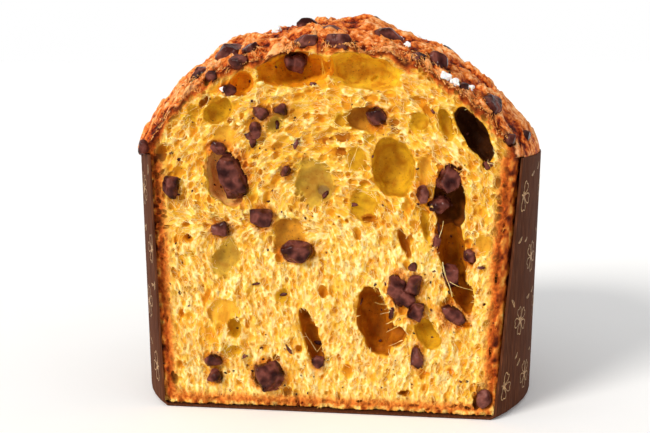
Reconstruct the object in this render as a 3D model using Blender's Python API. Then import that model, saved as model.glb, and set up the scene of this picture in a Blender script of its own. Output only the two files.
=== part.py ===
"""The larger part of a tall chocolate-chunk panettone, cut upright, in its paper mould.

The mould stands on z = 0 round the z axis. The cut face looks towards -Y and leans back a
little. Tables give places and sizes in millimetres, as (x, z) on the cut face or (x, y) on
the dome, and tilts in degrees, turned from +X towards +Z (face) or +Y (dome).
"""
import math

import bmesh
import bpy
from mathutils import Matrix, Vector, noise

MM = 0.001

# Paper mould
SEGMENTS = 64
BASE_RADIUS = 85.0 * MM
RIM_RADIUS = 87.0 * MM
RIM_HEIGHT = 105.0 * MM
PAPER = 0.8 * MM
PAPER_FOLD = 1.5 * MM
GAP = 0.3 * MM

# Upright cut: y = -(CUT_OFFSET - CUT_LEAN * z)
CUT_OFFSET = 49.8 * MM
CUT_LEAN = 0.033
PAPER_SPRING_BACK = 7.0 * MM
PAPER_SPRING_START_X = 20.0 * MM

# Dome of the loaf
DOME_RADIUS = 87.4 * MM
DOME_CENTRE_X = -0.9 * MM
DOME_FOOT = 106.0 * MM
DOME_RISE = 55.0 * MM
DOME_FULLNESS = 2.2
DOME_ROUNDING = 0.75
CREST_BACK = 4.0 * MM
DOME_RINGS = 11
WALL_RINGS = 2
CRAG_HEIGHT = 1.3 * MM
CRAG_SIZE = 15.0 * MM

# Broad humps and dips of the dome: x, y, height, width
HUMPS = [
    (-46, -10, 2.2, 9), (-27, -8, -4.2, 8), (14, 0, 2.0, 10), (34, 0, -3.4, 11),
    (66, 0, -5.5, 24), (64, -12, 3.0, 5), (38, -38, 2.6, 6), (-22, -40, -2.5, 7),
    (-30, 45, 2.5, 14), (25, 55, -2.5, 12), (48, 38, 2.2, 10), (-58, 30, -2.4, 11),
]

# Hollows that open on the cut face: x, z, length, width, tilt, depth
LARGE_HOLLOWS = [
    (-14, 139.5, 29, 14, 5, 18), (13, 139, 31, 14, -12, 16), (-42.5, 95.5, 25, 15, -70, 12),
    (26.2, 101, 24, 17.7, -80, 12), (50, 68, 34, 11.5, -82, 15), (19.5, 38, 30, 14, -75, 15),
]
SMALL_HOLLOWS = [
    (58, 114.5, 25, 9.5, -57, 14), (49, 88, 24, 13.5, 90, 15), (-6, 94, 18, 17, 90, 5),
    (-15.5, 74, 18, 17, 0, 4.5), (-41.7, 63.5, 19, 11, 65, 4.5),
    (-35.5, 134, 10, 10, 0, 10), (-44.5, 123, 14, 9.5, 35, 8), (-41.5, 112.5, 11, 9, 0, 4),
    (-69, 105.5, 9, 5.5, 100, 6), (-8, 101.5, 9, 5, 0, 4), (-11, 124.5, 10, 8, 0, 4),
    (-22, 118, 9, 6, 60, 5), (36.5, 118.7, 7.5, 7.5, 0, 4), (46.7, 118.7, 13.5, 5, -70, 6),
    (14, 120.5, 13, 10, 0, 7), (5, 119.5, 6, 6, 0, 4), (12, 103.7, 11, 8, 80, 4),
    (38.8, 99.5, 13, 6, 90, 4), (14.5, 86.5, 14, 11.5, 90, 5), (55, 50, 16, 8, -70, 12),
    (39.3, 79, 17, 3.5, -80, 5), (31, 70.5, 15, 4, -68, 6), (27, 33, 12, 9, 0, 10),
    (41, 33.5, 15, 8, -55, 8), (-38.2, 33.5, 8.5, 6, 100, 6), (-6.5, 31, 24, 7, -72, 10),
    (-18.7, 47.5, 8.5, 7, 0, 4), (64, 8, 10.5, 7.5, 80, 4),
]

# Chocolate chunks on the cut face: x, z, length, width, tilt, how far back the centre lies
FACE_CHUNKS = [
    (-14.3, 142.5, 8.5, 8.5, 20, 10.5), (-40, 131.5, 6.5, 4, 0, 2.5),
    (-64.6, 91.7, 9.5, 5.5, 95, 1), (-45, 108, 7.5, 4.7, -20, 2.5),
    (-38.7, 96.5, 18, 9.5, -62, 3.5), (-26.3, 122, 6.5, 5, 10, 1.5),
    (-19, 123.5, 5.5, 4.5, 0, 1.5), (-29.3, 115.6, 7, 4.2, -75, 1),
    (19.5, 121, 8, 7, 0, 3), (48.7, 97, 10.5, 9, 70, 3.5), (45, 86.3, 9, 7, 20, 5),
    (38.3, 90.5, 7.8, 4.6, 90, 0.8), (57.7, 65.5, 7.3, 3.6, -65, 3), (49, 57, 9.5, 5.5, -60, 6),
    (51.5, 42, 11.5, 5, -38, 2), (28.5, 51.5, 13, 5, -75, 2), (35, 54, 8.5, 6.5, 80, 0.8),
    (36.3, 43, 7.5, 6.5, 60, 0.8), (37, 24.8, 9, 4, -75, 1), (64, 8.2, 9, 5.5, 75, 1.6),
    (-43.7, 74.4, 7.3, 6.4, 0, 1.2), (-26.3, 79.7, 9, 7.5, 60, 1), (-12.3, 66.7, 12, 7, -15, 1.5),
    (-46.8, 19.8, 6.3, 5, 0, 1), (-46.7, 13.3, 6, 5.6, 90, 1), (-24.5, 14.3, 11.5, 9, 42, 1.2),
    (-16.7, 99, 5, 3.2, 90, 0.6), (-3.5, 21, 5.3, 3.6, 90, 1), (43.6, 71, 8, 2.8, 84, 3),
]

# Chocolate chunks in the dome's crust: x, y, length, width, tilt, how far the centre is sunk
DOME_CHUNKS = [
    (-43.6, -30, 15, 8, 15, 1.2), (-32.6, -36.3, 7, 6, 0, 1), (-36.5, -43, 7.5, 4.5, 10, 0.8),
    (-54.5, -36, 9, 6, 30, 0.8), (-11.4, -20, 8, 7, 20, 0.8), (-0.4, -30.7, 9, 6, 0, 0.8),
    (-9.5, -40.5, 10, 6, 10, 0.8), (3.9, -41.5, 10.5, 6, -10, 0.8), (22.8, -31.3, 12, 7, -25, 0.8),
    (35.5, -41, 7, 5.5, 0, 0.8), (43.3, -37, 9.5, 7, -15, 0.6), (53.5, -41, 4.5, 4, 0, 0.6),
    (64.7, -36.5, 12, 7, -60, 0.6), (72.6, -42.5, 6, 4.5, 80, 0.6), (79.1, -28, 6, 4.5, 70, 0.6),
    (-48.5, -42.3, 5.5, 4.2, 0, 1.2),
]

# The chunks of the dome's far side: a spiral of golden-angle steps squeezed to an oval
GOLDEN_TURN = math.radians(137.5)
BACK_CHUNKS = 13
BACK_START = math.radians(20)
BACK_FIRST = 0.7
BACK_MIDDLE_Y = 34.0
BACK_REACH_X = 72.0
BACK_REACH_Y = 42.0
BACK_LENGTH, BACK_LENGTH_SWING = 8.0, 3.5
BACK_WIDTH, BACK_WIDTH_SWING = 6.0, 1.2
BACK_SUNK = 0.8

# How a chunk is broken: its thickness as a share of its width, and how far it bulges on the cut
CHUNK_THICKNESS = 0.75
THINNEST_CHUNK = 3.5
FACE_BULGE = 1.2
CHUNK_SQUARENESS = 3.2
CHUNK_LUMPS = 0.28
LARGE_CHUNK = 5.2 * MM
SOCKET_GAP = 1.4 * GAP

# Pearl sugar baked onto the crust: x, y, size; the rest follows a spiral over the dome
FRONT_SUGAR = [(46.4, -43.2, 3.6), (49.8, -43, 3.4), (55.8, -39, 3.0), (31, -35.4, 2.4)]
SPIRAL_SUGAR = 8
SUGAR_START = 0.9
SUGAR_MIDDLE_Y = 18.0
SUGAR_REACH_X = 70.0
SUGAR_REACH_Y = 52.5
SUGAR_SIZE, SUGAR_SWING = 3.0, 0.25
SUGAR_PROUD = 0.1

# Colours: base colour, roughness
CRUST = ("crust", (0.33, 0.11, 0.04), 0.6)
CRUMB = ("crumb", (0.90, 0.55, 0.10), 0.8)
CHOCOLATE = ("chocolate", (0.045, 0.014, 0.012), 0.35)
PAPER_BROWN = ("paper", (0.11, 0.045, 0.03), 0.7)


def clear_scene():
    for obj in list(bpy.data.objects):
        bpy.data.objects.remove(obj, do_unlink=True)


def material(look):
    name, colour, roughness = look
    found = bpy.data.materials.get(name)
    if found:
        return found
    made = bpy.data.materials.new(name)
    made.use_nodes = True
    shader = made.node_tree.nodes["Principled BSDF"]
    shader.inputs["Base Color"].default_value = (*colour, 1.0)
    shader.inputs["Roughness"].default_value = roughness
    shader.inputs["Metallic"].default_value = 0.0
    return made


def add_object(name, bm, look, place=None):
    """Make a smooth-shaded object from a bmesh, set down by its location and rotation."""
    bmesh.ops.recalc_face_normals(bm, faces=bm.faces)
    mesh = bpy.data.meshes.new(name)
    bm.to_mesh(mesh)
    bm.free()
    mesh.materials.append(material(look))
    mesh.shade_smooth()
    mesh.set_sharp_from_angle(angle=math.radians(40))
    obj = bpy.data.objects.new(name, mesh)
    bpy.context.collection.objects.link(obj)
    if place is not None:
        obj.location = place.to_translation()
        obj.rotation_euler = place.to_euler()
    return obj


def cut_plane_y(z):
    return -(CUT_OFFSET - CUT_LEAN * z)


def dome_height(x, y):
    """Height of the crust over (x, y): a round dome with humps, dips and crags."""
    reach = min(math.hypot(x - DOME_CENTRE_X, y) / DOME_RADIUS, 1.0)
    crest_y = CREST_BACK * (1.0 - reach ** 4)
    spread = min(math.hypot(x - DOME_CENTRE_X, y - crest_y) / DOME_RADIUS, 1.0)
    height = DOME_FOOT + DOME_RISE * (1.0 - spread ** DOME_FULLNESS) ** DOME_ROUNDING
    relief = CRAG_HEIGHT * noise.noise(Vector((x, y, 0.0)) / CRAG_SIZE)
    for hump_x, hump_y, rise, width in HUMPS:
        away = math.hypot(x / MM - hump_x, y / MM - hump_y) / width
        relief += rise * MM * math.exp(-away ** 2)
    return height + relief * (1.0 - reach ** 6)


def dome_normal(x, y):
    step = 2.0 * MM
    slope_x = (dome_height(x + step, y) - dome_height(x - step, y)) / (2 * step)
    slope_y = (dome_height(x, y + step) - dome_height(x, y - step)) / (2 * step)
    return Vector((-slope_x, -slope_y, 1.0)).normalized()


def revolve(rings, centre_low, centre_high):
    """Skin a stack of closed rings of points, with a fan at each end."""
    bm = bmesh.new()
    low = bm.verts.new(centre_low)
    high = bm.verts.new(centre_high)
    loops = [[bm.verts.new(point) for point in ring] for ring in rings]
    count = len(loops[0])
    for k in range(count):
        after = (k + 1) % count
        bm.faces.new((low, loops[0][after], loops[0][k]))
        bm.faces.new((high, loops[-1][k], loops[-1][after]))
        for lower, upper in zip(loops, loops[1:]):
            bm.faces.new((lower[k], lower[after], upper[after], upper[k]))
    return bm


def circle(radius, z, centre_x=0.0):
    angles = [2 * math.pi * k / SEGMENTS for k in range(SEGMENTS)]
    return [Vector((centre_x + radius * math.cos(a), radius * math.sin(a), z)) for a in angles]


def wall_radius(z):
    return BASE_RADIUS + (RIM_RADIUS - BASE_RADIUS) * z / RIM_HEIGHT


def whole_loaf():
    """The round loaf before the cut, standing just clear inside its mould."""
    floor = PAPER + GAP
    inset = PAPER + GAP
    rings = [circle(wall_radius(0) - inset - PAPER_FOLD, floor)]
    for k in range(WALL_RINGS + 1):
        z = floor + PAPER_FOLD + (RIM_HEIGHT - floor - PAPER_FOLD) * k / WALL_RINGS
        rings.append(circle(wall_radius(z) - inset, z))
    rings.append(circle(wall_radius(RIM_HEIGHT) - inset, RIM_HEIGHT + GAP))
    for k in range(DOME_RINGS, 0, -1):
        radius = DOME_RADIUS * math.sin(math.pi / 2 * k / DOME_RINGS)
        ring = circle(radius, 0.0, DOME_CENTRE_X)
        for point in ring:
            point.z = dome_height(point.x, point.y)
        rings.append(ring)
    top = Vector((DOME_CENTRE_X, 0.0, dome_height(DOME_CENTRE_X, 0.0)))
    return revolve(rings, Vector((0, 0, floor)), top)


def paper_shell():
    """The round mould before the cut: a thin wall with a folded foot and a flat base."""
    foot = BASE_RADIUS - PAPER_FOLD
    outer = [circle(foot, 0.0), circle(wall_radius(PAPER_FOLD), PAPER_FOLD)]
    outer.append(circle(RIM_RADIUS, RIM_HEIGHT))
    inner = [circle(RIM_RADIUS - PAPER, RIM_HEIGHT)]
    inner.append(circle(wall_radius(PAPER_FOLD) - PAPER, PAPER_FOLD + PAPER / 2))
    inner.append(circle(foot - PAPER / 2, PAPER))
    return revolve(outer + inner, Vector((0, 0, 0)), Vector((0, 0, PAPER)))


def cut_slab(lean, offset, low_x=-120 * MM):
    """A thick slab that fills the space in front of a leaning upright plane."""
    high_x, front, low, high = 120 * MM, -200 * MM, -20 * MM, 220 * MM
    bm = bmesh.new()
    corners = []
    for x in (low_x, high_x):
        for z in (low, high):
            corners.append(bm.verts.new((x, -(offset - lean * z), z)))
            corners.append(bm.verts.new((x, front, z)))
    bmesh.ops.convex_hull(bm, input=corners)
    return bm


def ellipsoid(half_sizes, place, roundness, lumps, seed, detail):
    """A closed lump: a ball squared off by its roundness, then dented by noise."""
    bm = bmesh.new()
    bmesh.ops.create_icosphere(bm, subdivisions=detail, radius=1.0)
    offset = Vector((seed * 3.7, seed * 1.3, seed * 2.1))
    for vert in bm.verts:
        power = sum(abs(value) ** roundness for value in vert.co) ** (-1.0 / roundness)
        dent = 1.0 + lumps * noise.noise(vert.co * 1.6 + offset)
        vert.co *= power * dent
        vert.co = Vector(value * half for value, half in zip(vert.co, half_sizes))
    bmesh.ops.transform(bm, matrix=place, verts=bm.verts)
    return bm


def face_place(x, z, tilt, back):
    """A frame on the cut face: X along the tilt, Y into the loaf, Z across."""
    lean = Matrix.Rotation(-math.atan(CUT_LEAN), 4, "X")
    turn = Matrix.Rotation(-math.radians(tilt), 4, "Y")
    spot = Vector((x * MM, cut_plane_y(z * MM) + back * MM, z * MM))
    return Matrix.Translation(spot) @ lean @ turn


def dome_place(x, y, tilt, sunk):
    """A frame on the crust: X along the tilt, Z straight out of the crust."""
    out = dome_normal(x * MM, y * MM)
    along = Vector((math.cos(math.radians(tilt)), math.sin(math.radians(tilt)), 0.0))
    along = (along - out * along.dot(out)).normalized()
    across = out.cross(along)
    turn = Matrix((along, across, out)).transposed().to_4x4()
    spot = Vector((x * MM, y * MM, dome_height(x * MM, y * MM))) - out * sunk * MM
    return Matrix.Translation(spot) @ turn


def hollow_cutters():
    """One cutter for each hollow, its middle a little behind the cut."""
    cutters = []
    for detail, table in ((3, LARGE_HOLLOWS), (2, SMALL_HOLLOWS)):
        for x, z, length, width, tilt, depth in table:
            place = face_place(x, z, tilt, 0.1 * depth)
            half_sizes = [length / 2 * MM, depth * MM, width / 2 * MM]
            bm = ellipsoid(half_sizes, place, 2.0, 0.1, len(cutters) + 1, detail)
            cutters.append(add_object("hollow", bm, CRUMB))
    return cutters


def chunk_half_sizes(length, width, bulge=1.0):
    thick = max(CHUNK_THICKNESS * min(length, width), THINNEST_CHUNK) * bulge
    return length / 2 * MM, width / 2 * MM, thick / 2 * MM


def chunk_list():
    """Name, frame and half sizes of every chocolate chunk."""
    chunks = []
    for x, z, length, width, tilt, back in FACE_CHUNKS:
        long, wide, thick = chunk_half_sizes(length, width, FACE_BULGE)
        place = face_place(x, z, tilt, back)
        chunks.append((f"face_chunk_{len(chunks) + 1:02d}", place, (long, thick, wide)))
    for k, (x, y, length, width, tilt, sunk) in enumerate(DOME_CHUNKS):
        place = dome_place(x, y, tilt, sunk)
        chunks.append((f"dome_chunk_{k + 1:02d}", place, chunk_half_sizes(length, width)))
    for k in range(BACK_CHUNKS):
        turn = BACK_START + k * GOLDEN_TURN
        reach = math.sqrt((k + BACK_FIRST) / BACK_CHUNKS)
        x = BACK_REACH_X * reach * math.cos(turn)
        y = BACK_REACH_Y * reach * math.sin(turn) + BACK_MIDDLE_Y
        length = BACK_LENGTH + BACK_LENGTH_SWING * math.sin(4.1 * k)
        width = BACK_WIDTH + BACK_WIDTH_SWING * math.cos(2.3 * k)
        place = dome_place(x, y, math.degrees(1.7 * k), BACK_SUNK)
        half_sizes = chunk_half_sizes(length, width)
        chunks.append((f"dome_chunk_{len(DOME_CHUNKS) + k + 1:02d}", place, half_sizes))
    return chunks


def chunk_body(half_sizes, seed):
    """An angular broken lump of chocolate round its own origin."""
    detail = 2 if max(half_sizes) > LARGE_CHUNK else 1
    return ellipsoid(half_sizes, Matrix.Identity(4), CHUNK_SQUARENESS, CHUNK_LUMPS, seed, detail)


def socket_body(half_sizes, seed, place):
    """The chunk's own form, grown by the gap, where it sits in the loaf."""
    bm = chunk_body(half_sizes, seed)
    bmesh.ops.recalc_face_normals(bm, faces=bm.faces)
    bm.normal_update()
    for vert in bm.verts:
        vert.co += vert.normal * SOCKET_GAP
    bmesh.ops.transform(bm, matrix=place, verts=bm.verts)
    return bm


def sugar_grains():
    """Coarse grains, each half sunk in the crust."""
    spots = list(FRONT_SUGAR)
    for k in range(SPIRAL_SUGAR):
        turn = SUGAR_START + k * GOLDEN_TURN
        reach = math.sqrt((k + 0.5) / SPIRAL_SUGAR)
        x = SUGAR_REACH_X * reach * math.cos(turn)
        y = SUGAR_REACH_Y * reach * math.sin(turn) + SUGAR_MIDDLE_Y
        spots.append((x, y, SUGAR_SIZE * (1.0 + SUGAR_SWING * math.sin(3.3 * k))))
    grains = []
    for k, (x, y, size) in enumerate(spots):
        place = dome_place(x, y, 40.0 * k, -SUGAR_PROUD * size)
        half_sizes = [0.5 * size * MM, 0.42 * size * MM, 0.4 * size * MM]
        bm = ellipsoid(half_sizes, place, 2.6, 0.1, 90 + k, 1)
        grains.append(add_object("sugar", bm, CRUST))
    return grains


def combine(target, tools, operation):
    """Apply one Boolean of a whole collection of tools, then remove the tools."""
    group = bpy.data.collections.new("tools")
    bpy.context.scene.collection.children.link(group)
    for tool in tools:
        group.objects.link(tool)
    modifier = target.modifiers.new(operation.lower(), "BOOLEAN")
    modifier.operation = operation
    modifier.operand_type = "COLLECTION"
    modifier.collection = group
    modifier.solver = "EXACT"
    modifier.material_mode = "TRANSFER"
    bake(target)
    for tool in tools:
        bpy.data.objects.remove(tool, do_unlink=True)
    bpy.data.collections.remove(group)


def bake(obj):
    """Replace an object's mesh by the one its modifiers give."""
    bpy.context.view_layer.update()
    graph = bpy.context.evaluated_depsgraph_get()
    mesh = bpy.data.meshes.new_from_object(obj.evaluated_get(graph))
    obj.modifiers.clear()
    obj.data = mesh


def keep_one_body(obj):
    """Drop any loose scrap that the cuts left beside the main body."""
    bm = bmesh.new()
    bm.from_mesh(obj.data)
    unseen = set(bm.verts)
    bodies = []
    while unseen:
        front = [unseen.pop()]
        body = set(front)
        while front:
            for edge in front.pop().link_edges:
                for vert in edge.verts:
                    if vert in unseen:
                        unseen.remove(vert)
                        body.add(vert)
                        front.append(vert)
        bodies.append(body)
    bodies.sort(key=len)
    for body in bodies[:-1]:
        bmesh.ops.delete(bm, geom=list(body), context="VERTS")
    bm.to_mesh(obj.data)
    bm.free()


def build_paper_case():
    case = add_object("paper_case", paper_shell(), PAPER_BROWN)
    front = add_object("cut", cut_slab(CUT_LEAN, CUT_OFFSET), PAPER_BROWN)
    combine(case, [front], "DIFFERENCE")
    spring = PAPER_SPRING_BACK / RIM_HEIGHT
    slab = cut_slab(CUT_LEAN + spring, CUT_OFFSET, PAPER_SPRING_START_X)
    right = add_object("cut", slab, PAPER_BROWN)
    combine(case, [right], "DIFFERENCE")


def build_loaf(chunks):
    loaf = add_object("loaf", whole_loaf(), CRUST)
    combine(loaf, sugar_grains(), "UNION")
    combine(loaf, [add_object("cut", cut_slab(CUT_LEAN, CUT_OFFSET), CRUMB)], "DIFFERENCE")
    combine(loaf, hollow_cutters(), "DIFFERENCE")
    sockets = []
    for k, (name, place, half_sizes) in enumerate(chunks):
        sockets.append(add_object("socket", socket_body(half_sizes, k + 1, place), CRUMB))
    combine(loaf, sockets, "DIFFERENCE")
    keep_one_body(loaf)
    loaf.data.shade_smooth()
    loaf.data.set_sharp_from_angle(angle=math.radians(40))


def build_chunks(chunks):
    for k, (name, place, half_sizes) in enumerate(chunks):
        add_object(name, chunk_body(half_sizes, k + 1), CHOCOLATE, place)


def main():
    clear_scene()
    chunks = chunk_list()
    build_paper_case()
    build_loaf(chunks)
    build_chunks(chunks)


main()
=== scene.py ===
import math
from functools import partial

import bpy
import numpy as np
from mathutils import Matrix, Vector, noise


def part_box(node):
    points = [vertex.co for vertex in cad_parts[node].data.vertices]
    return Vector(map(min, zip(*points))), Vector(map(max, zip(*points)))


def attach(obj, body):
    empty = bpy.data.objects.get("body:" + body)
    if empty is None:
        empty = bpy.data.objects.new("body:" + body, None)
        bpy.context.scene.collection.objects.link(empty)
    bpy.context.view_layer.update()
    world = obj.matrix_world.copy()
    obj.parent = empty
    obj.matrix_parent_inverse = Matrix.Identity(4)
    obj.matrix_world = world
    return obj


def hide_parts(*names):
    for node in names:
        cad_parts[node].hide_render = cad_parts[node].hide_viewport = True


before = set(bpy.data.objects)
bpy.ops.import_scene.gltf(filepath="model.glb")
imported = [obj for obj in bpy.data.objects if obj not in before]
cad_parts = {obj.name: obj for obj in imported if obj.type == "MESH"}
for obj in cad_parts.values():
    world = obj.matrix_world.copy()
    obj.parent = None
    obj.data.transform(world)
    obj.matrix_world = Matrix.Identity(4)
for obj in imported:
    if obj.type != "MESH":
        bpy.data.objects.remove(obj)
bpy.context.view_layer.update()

BODY = "root"
MM = 0.001

# Every size below is in millimetres until a mesh is made, as in the part's source.
# Mould
BASE_RADIUS = 85.0
RIM_RADIUS = 87.0
RIM_HEIGHT = 105.0
PAPER_SPRING_BACK = 7.0
# Ribs 1.2 mm apart, the finest that the render shows
PAPER_RIBS = round(2 * math.pi * RIM_RADIUS / 1.2)
BLOSSOM_COLUMNS, BLOSSOM_ROWS = 22, 4
INK_HALF_LINE = 0.22
INK_ABOVE_PAPER = 0.06
# Upright cut: y = -(CUT_OFFSET - CUT_LEAN * z)
CUT_OFFSET = 49.8
CUT_LEAN = 0.033
# Dome
DOME_RADIUS = 87.4
DOME_CENTRE_X = -0.9
DOME_FOOT = 106.0
DOME_RISE = 55.0
DOME_FULLNESS = 2.2
DOME_ROUNDING = 0.75
CREST_BACK = 4.0
CRAG_HEIGHT = 1.3
CRAG_SIZE = 15.0
HUMPS = [
    (-46, -10, 2.2, 9), (-27, -8, -4.2, 8), (14, 0, 2.0, 10), (34, 0, -3.4, 11),
    (66, 0, -5.5, 24), (64, -12, 3.0, 5), (38, -38, 2.6, 6), (-22, -40, -2.5, 7),
    (-30, 45, 2.5, 14), (25, 55, -2.5, 12), (48, 38, 2.2, 10), (-58, 30, -2.4, 11),
]
LOAF_FLOOR = 1.1
WALL_INSET = 1.1
DOME_INSET = 0.3
# Where the crumb's own skin hands over to the crust of the rest of the loaf
SEAM_BEHIND_CUT = 9.0
# Borders in x of the five parts of the crumb, which keep each mesh modest
CRUMB_BORDERS = (-50.0, -18.0, 14.0, 46.0)
# How far below the torn ridges the crumb's painted shade reaches its deepest gold, and how far in the
# crust's brown fades out on the cut
CELL_SHADE_DEPTH = 4.5
BROWN_DEPTH = 10.5
# How many of each small thing there are
ROUND_BUBBLES = 420
STRANDS = 11500
CRUST_SHREDS = 1900
SPECKS = 230
SPECKS_BY_CHUNKS = 150

# Hollows on the cut face: x, z, length, width, tilt, depth, what lines them
HOLLOWS = [
    (-14, 139.5, 29, 14, 5, 18, "amber"), (13, 139, 31, 14, -12, 16, "lemon"),
    (-42.5, 95.5, 25, 15, -70, 12, "toffee"), (26.2, 101, 24, 17.7, -80, 12, "gold"),
    (50, 68, 34, 11.5, -82, 15, "brown"), (19.5, 38, 30, 14, -75, 15, "brown"),
    (58, 114.5, 25, 9.5, -57, 14, "cocoa"), (49, 88, 24, 13.5, 90, 15, "umber"),
    (-6, 94, 18, 17, 90, 5, "olive"), (-2, 91, 9, 8, 0, 5.6, "grey"), (-15.5, 74, 18, 17, 0, 4.5, "tan"),
    (-41.7, 63.5, 19, 11, 65, 5, "olive"), (-35.5, 134, 10, 10, 0, 10, "amber"),
    (-44.5, 123, 14, 9.5, 35, 6.5, "gold"), (-41.5, 112.5, 11, 9, 0, 4, "plain"),
    (-69, 105.5, 9, 5.5, 100, 6, "brown"), (-8, 101.5, 9, 5, 0, 4, "olive"),
    (-11, 124.5, 10, 8, 0, 4, "plain"), (-22, 118, 9, 6, 60, 5, "olive"),
    (36.5, 118.7, 7.5, 7.5, 0, 4, "gold"), (46.7, 118.7, 13.5, 5, -70, 6, "gold"),
    (14, 120.5, 13, 10, 0, 7, "tan"), (5, 119.5, 6, 6, 0, 4, "gold"),
    (12, 103.7, 11, 8, 80, 4, "gold"), (38.8, 99.5, 13, 6, 90, 4, "plain"),
    (14.5, 86.5, 14, 11.5, 90, 5, "gold"), (17, 80, 6, 3, 0, 6, "brown"),
    (55, 50, 16, 8, -70, 12, "brown"), (39.3, 79, 17, 3.5, -80, 5, "gold"),
    (31, 70.5, 15, 4, -68, 6, "brown"), (27, 33, 12, 9, 0, 10, "brown"),
    (41, 33.5, 15, 8, -55, 8, "gold"), (-38.2, 33.5, 8.5, 6, 100, 6, "gold"),
    (-6.5, 31, 24, 7, -72, 10, "brown"), (-18.7, 47.5, 8.5, 7, 0, 4, "gold"),
    (64, 8, 10.5, 7.5, 80, 4, "brown"), (-43.5, 40.5, 13, 11, 0, 3, "plain"),
    (-17.5, 109.5, 8, 7, 0, 3, "plain"), (62.5, 70.5, 8, 7, 0, 3, "plain"),
    (-64, 47.3, 8.5, 3.5, 0, 3, "olive"), (-50.3, 127, 6, 2.5, 60, 3, "brown"),
    (-54.5, 123, 4.5, 3.5, 0, 3, "gold"), (-57, 119, 4, 4, 0, 2.5, "gold"),
    (-39.5, 119, 2.2, 2.2, 0, 2, "brown"), (26.5, 118, 4, 3.5, 0, 3, "brown"),
    (6, 113.2, 5.4, 4, 0, 3, "brown"), (17, 112.3, 3.5, 2.8, 0, 2.5, "gold"),
    (5.3, 106.8, 4.6, 3.3, 70, 3, "brown"), (0, 111, 4, 2.5, 0, 3, "brown"),
    (56, 38, 6, 3, 0, 4, "amber"), (49, 47, 4, 3, 0, 3, "brown"),
    (-57.7, 64.5, 6, 2.5, 0, 2.5, "gold"), (-58, 49.5, 7, 3, 0, 2.5, "gold"),
    (-40, 23.8, 9, 5, 20, 3, "gold"), (-20.5, 21, 3.3, 3.3, 0, 3, "brown"),
    (50.5, 18.5, 3, 3, 0, 3, "amber"), (40.5, 17.5, 4, 1.5, 0, 3, "amber"),
    (31.5, 9, 4, 2, 0, 3, "brown"), (-47, 78.7, 5, 2.5, -45, 3, "brown"),
    (17.7, 135.8, 5.5, 3.3, 30, 17, "gold"),
]
# The lining of a hollow deeper than this stops short of the cut; a shallow dish is lined to its rim
DEEP = 9.0
# What lines a hollow: colour, and how much of it shows
LININGS = {
    "plain": ("#E8BC44", 0.3), "gold": ("#C6961A", 0.8), "amber": ("#F09A18", 0.85),
    "lemon": ("#F4C232", 0.85), "tan": ("#B87A22", 0.85), "toffee": ("#FFB866", 0.85),
    "brown": ("#A65C0A", 0.85), "umber": ("#5A2A0A", 0.9), "cocoa": ("#2C1007", 0.95),
    "olive": ("#A89038", 0.65), "grey": ("#7C6C40", 0.8),
}

# Chips and flakes of chocolate on the cut face: x, z, length, width, tilt
FLAKES = [
    (-34.5, 22, 3.4, 1.8, 20), (-15.5, 26, 4.2, 1.3, -50), (-29.5, 52.5, 3.0, 1.0, 10),
    (-18, 47.7, 4.0, 1.6, 5), (61.7, 61.7, 2.8, 1.2, 10), (-1, 89.5, 4.2, 1.8, 45),
    (-27.5, 25.5, 1.6, 1.0, 0), (-26.5, 21, 1.4, 1.0, 0), (-56, 90, 1.6, 1.0, 80),
    (-65, 105.5, 1.8, 1.2, 0), (-61.5, 103, 1.8, 1.4, 60), (-6, 133.8, 3.0, 1.4, -5),
    (64, 102, 3.6, 3.0, 0), (34.5, 61.2, 3.0, 4.0, 0), (26.5, 42.3, 5.0, 2.0, 85),
    (32.3, 48, 6.5, 6.0, 60), (10.3, 85.7, 3.6, 1.6, 0), (-20.8, 117, 4.0, 2.3, 90),
    (-13, 109.7, 3.4, 1.8, 60), (-4, 26.5, 4.0, 1.5, 0), (-31.2, 111.4, 5.8, 2.8, -60),
    (-62, 88.5, 1.5, 1.0, 0), (44.5, 75, 6.0, 1.6, 95), (13.5, 45, 3.0, 1.0, 70),
    (41.6, 123.3, 2.4, 1.2, -50), (-61.5, 47.5, 2.4, 2.0, 0),
]
# A chip wedged between the crust and the mould's rim: x, y, z
RIM_CHIP = (-76.0, -44.2, 107.8)

# Chunks whose chocolate has bloomed to a dull skin
DULL_CHUNKS = {"dome_chunk_01", "dome_chunk_07", "dome_chunk_08", "face_chunk_12", "face_chunk_20"}

# Pearl sugar: x, y, size on the front; the rest follows a spiral, as in the part's source
FRONT_SUGAR = [(46.4, -43.2, 3.6), (49.8, -43, 3.4), (55.8, -39, 3.0), (31, -35.4, 2.4)]
SPIRAL_SUGAR = 8
SUGAR_SIZE = 3.0
SUGAR_TURN = math.radians(137.5)
# A grain stuck in the crumb beside a chunk: x, z
FALLEN_SUGAR = (-42.6, 131.8)

# Shreds of crumb across the hollows: from x, z to x, z, how far back, how thick, its share at the far end
SHREDS = [
    (29, 44.5, 19.5, 46.3, 2.0, 0.5, 0.1), (29, 43, 21.5, 41.2, 2.5, 0.6, 0.1),
    (29.5, 37, 24.2, 34, 2.0, 0.7, 0.1), (28.6, 45.5, 23.2, 43.6, 1.5, 0.4, 0.0),
    (31, 31, 25.5, 28.4, 1.8, 0.4, 0.2),
    (-4.2, 24.5, 0.5, 34, 3.0, 0.2, 0.5), (-4.5, 24.8, -9.2, 32, 3.5, 0.15, 0.5),
    (46.6, 63.5, 50.6, 49.5, 1.6, 0.4, 1.0), (49.5, 55.5, 60.8, 51.6, 2.2, 0.3, 0.6),
    (-3.7, 147, -0.7, 132.5, 5.0, 0.35, 1.0), (-4.4, 146.5, -1.4, 132, 6.5, 0.3, 1.0),
    (50.5, 101, 56.8, 97.6, 1.0, 0.3, 0.6), (44.2, 69, 46.6, 80, 1.2, 0.5, 0.3),
    (12, 109, 9, 100, 1.5, 0.3, 0.6),
]

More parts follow.
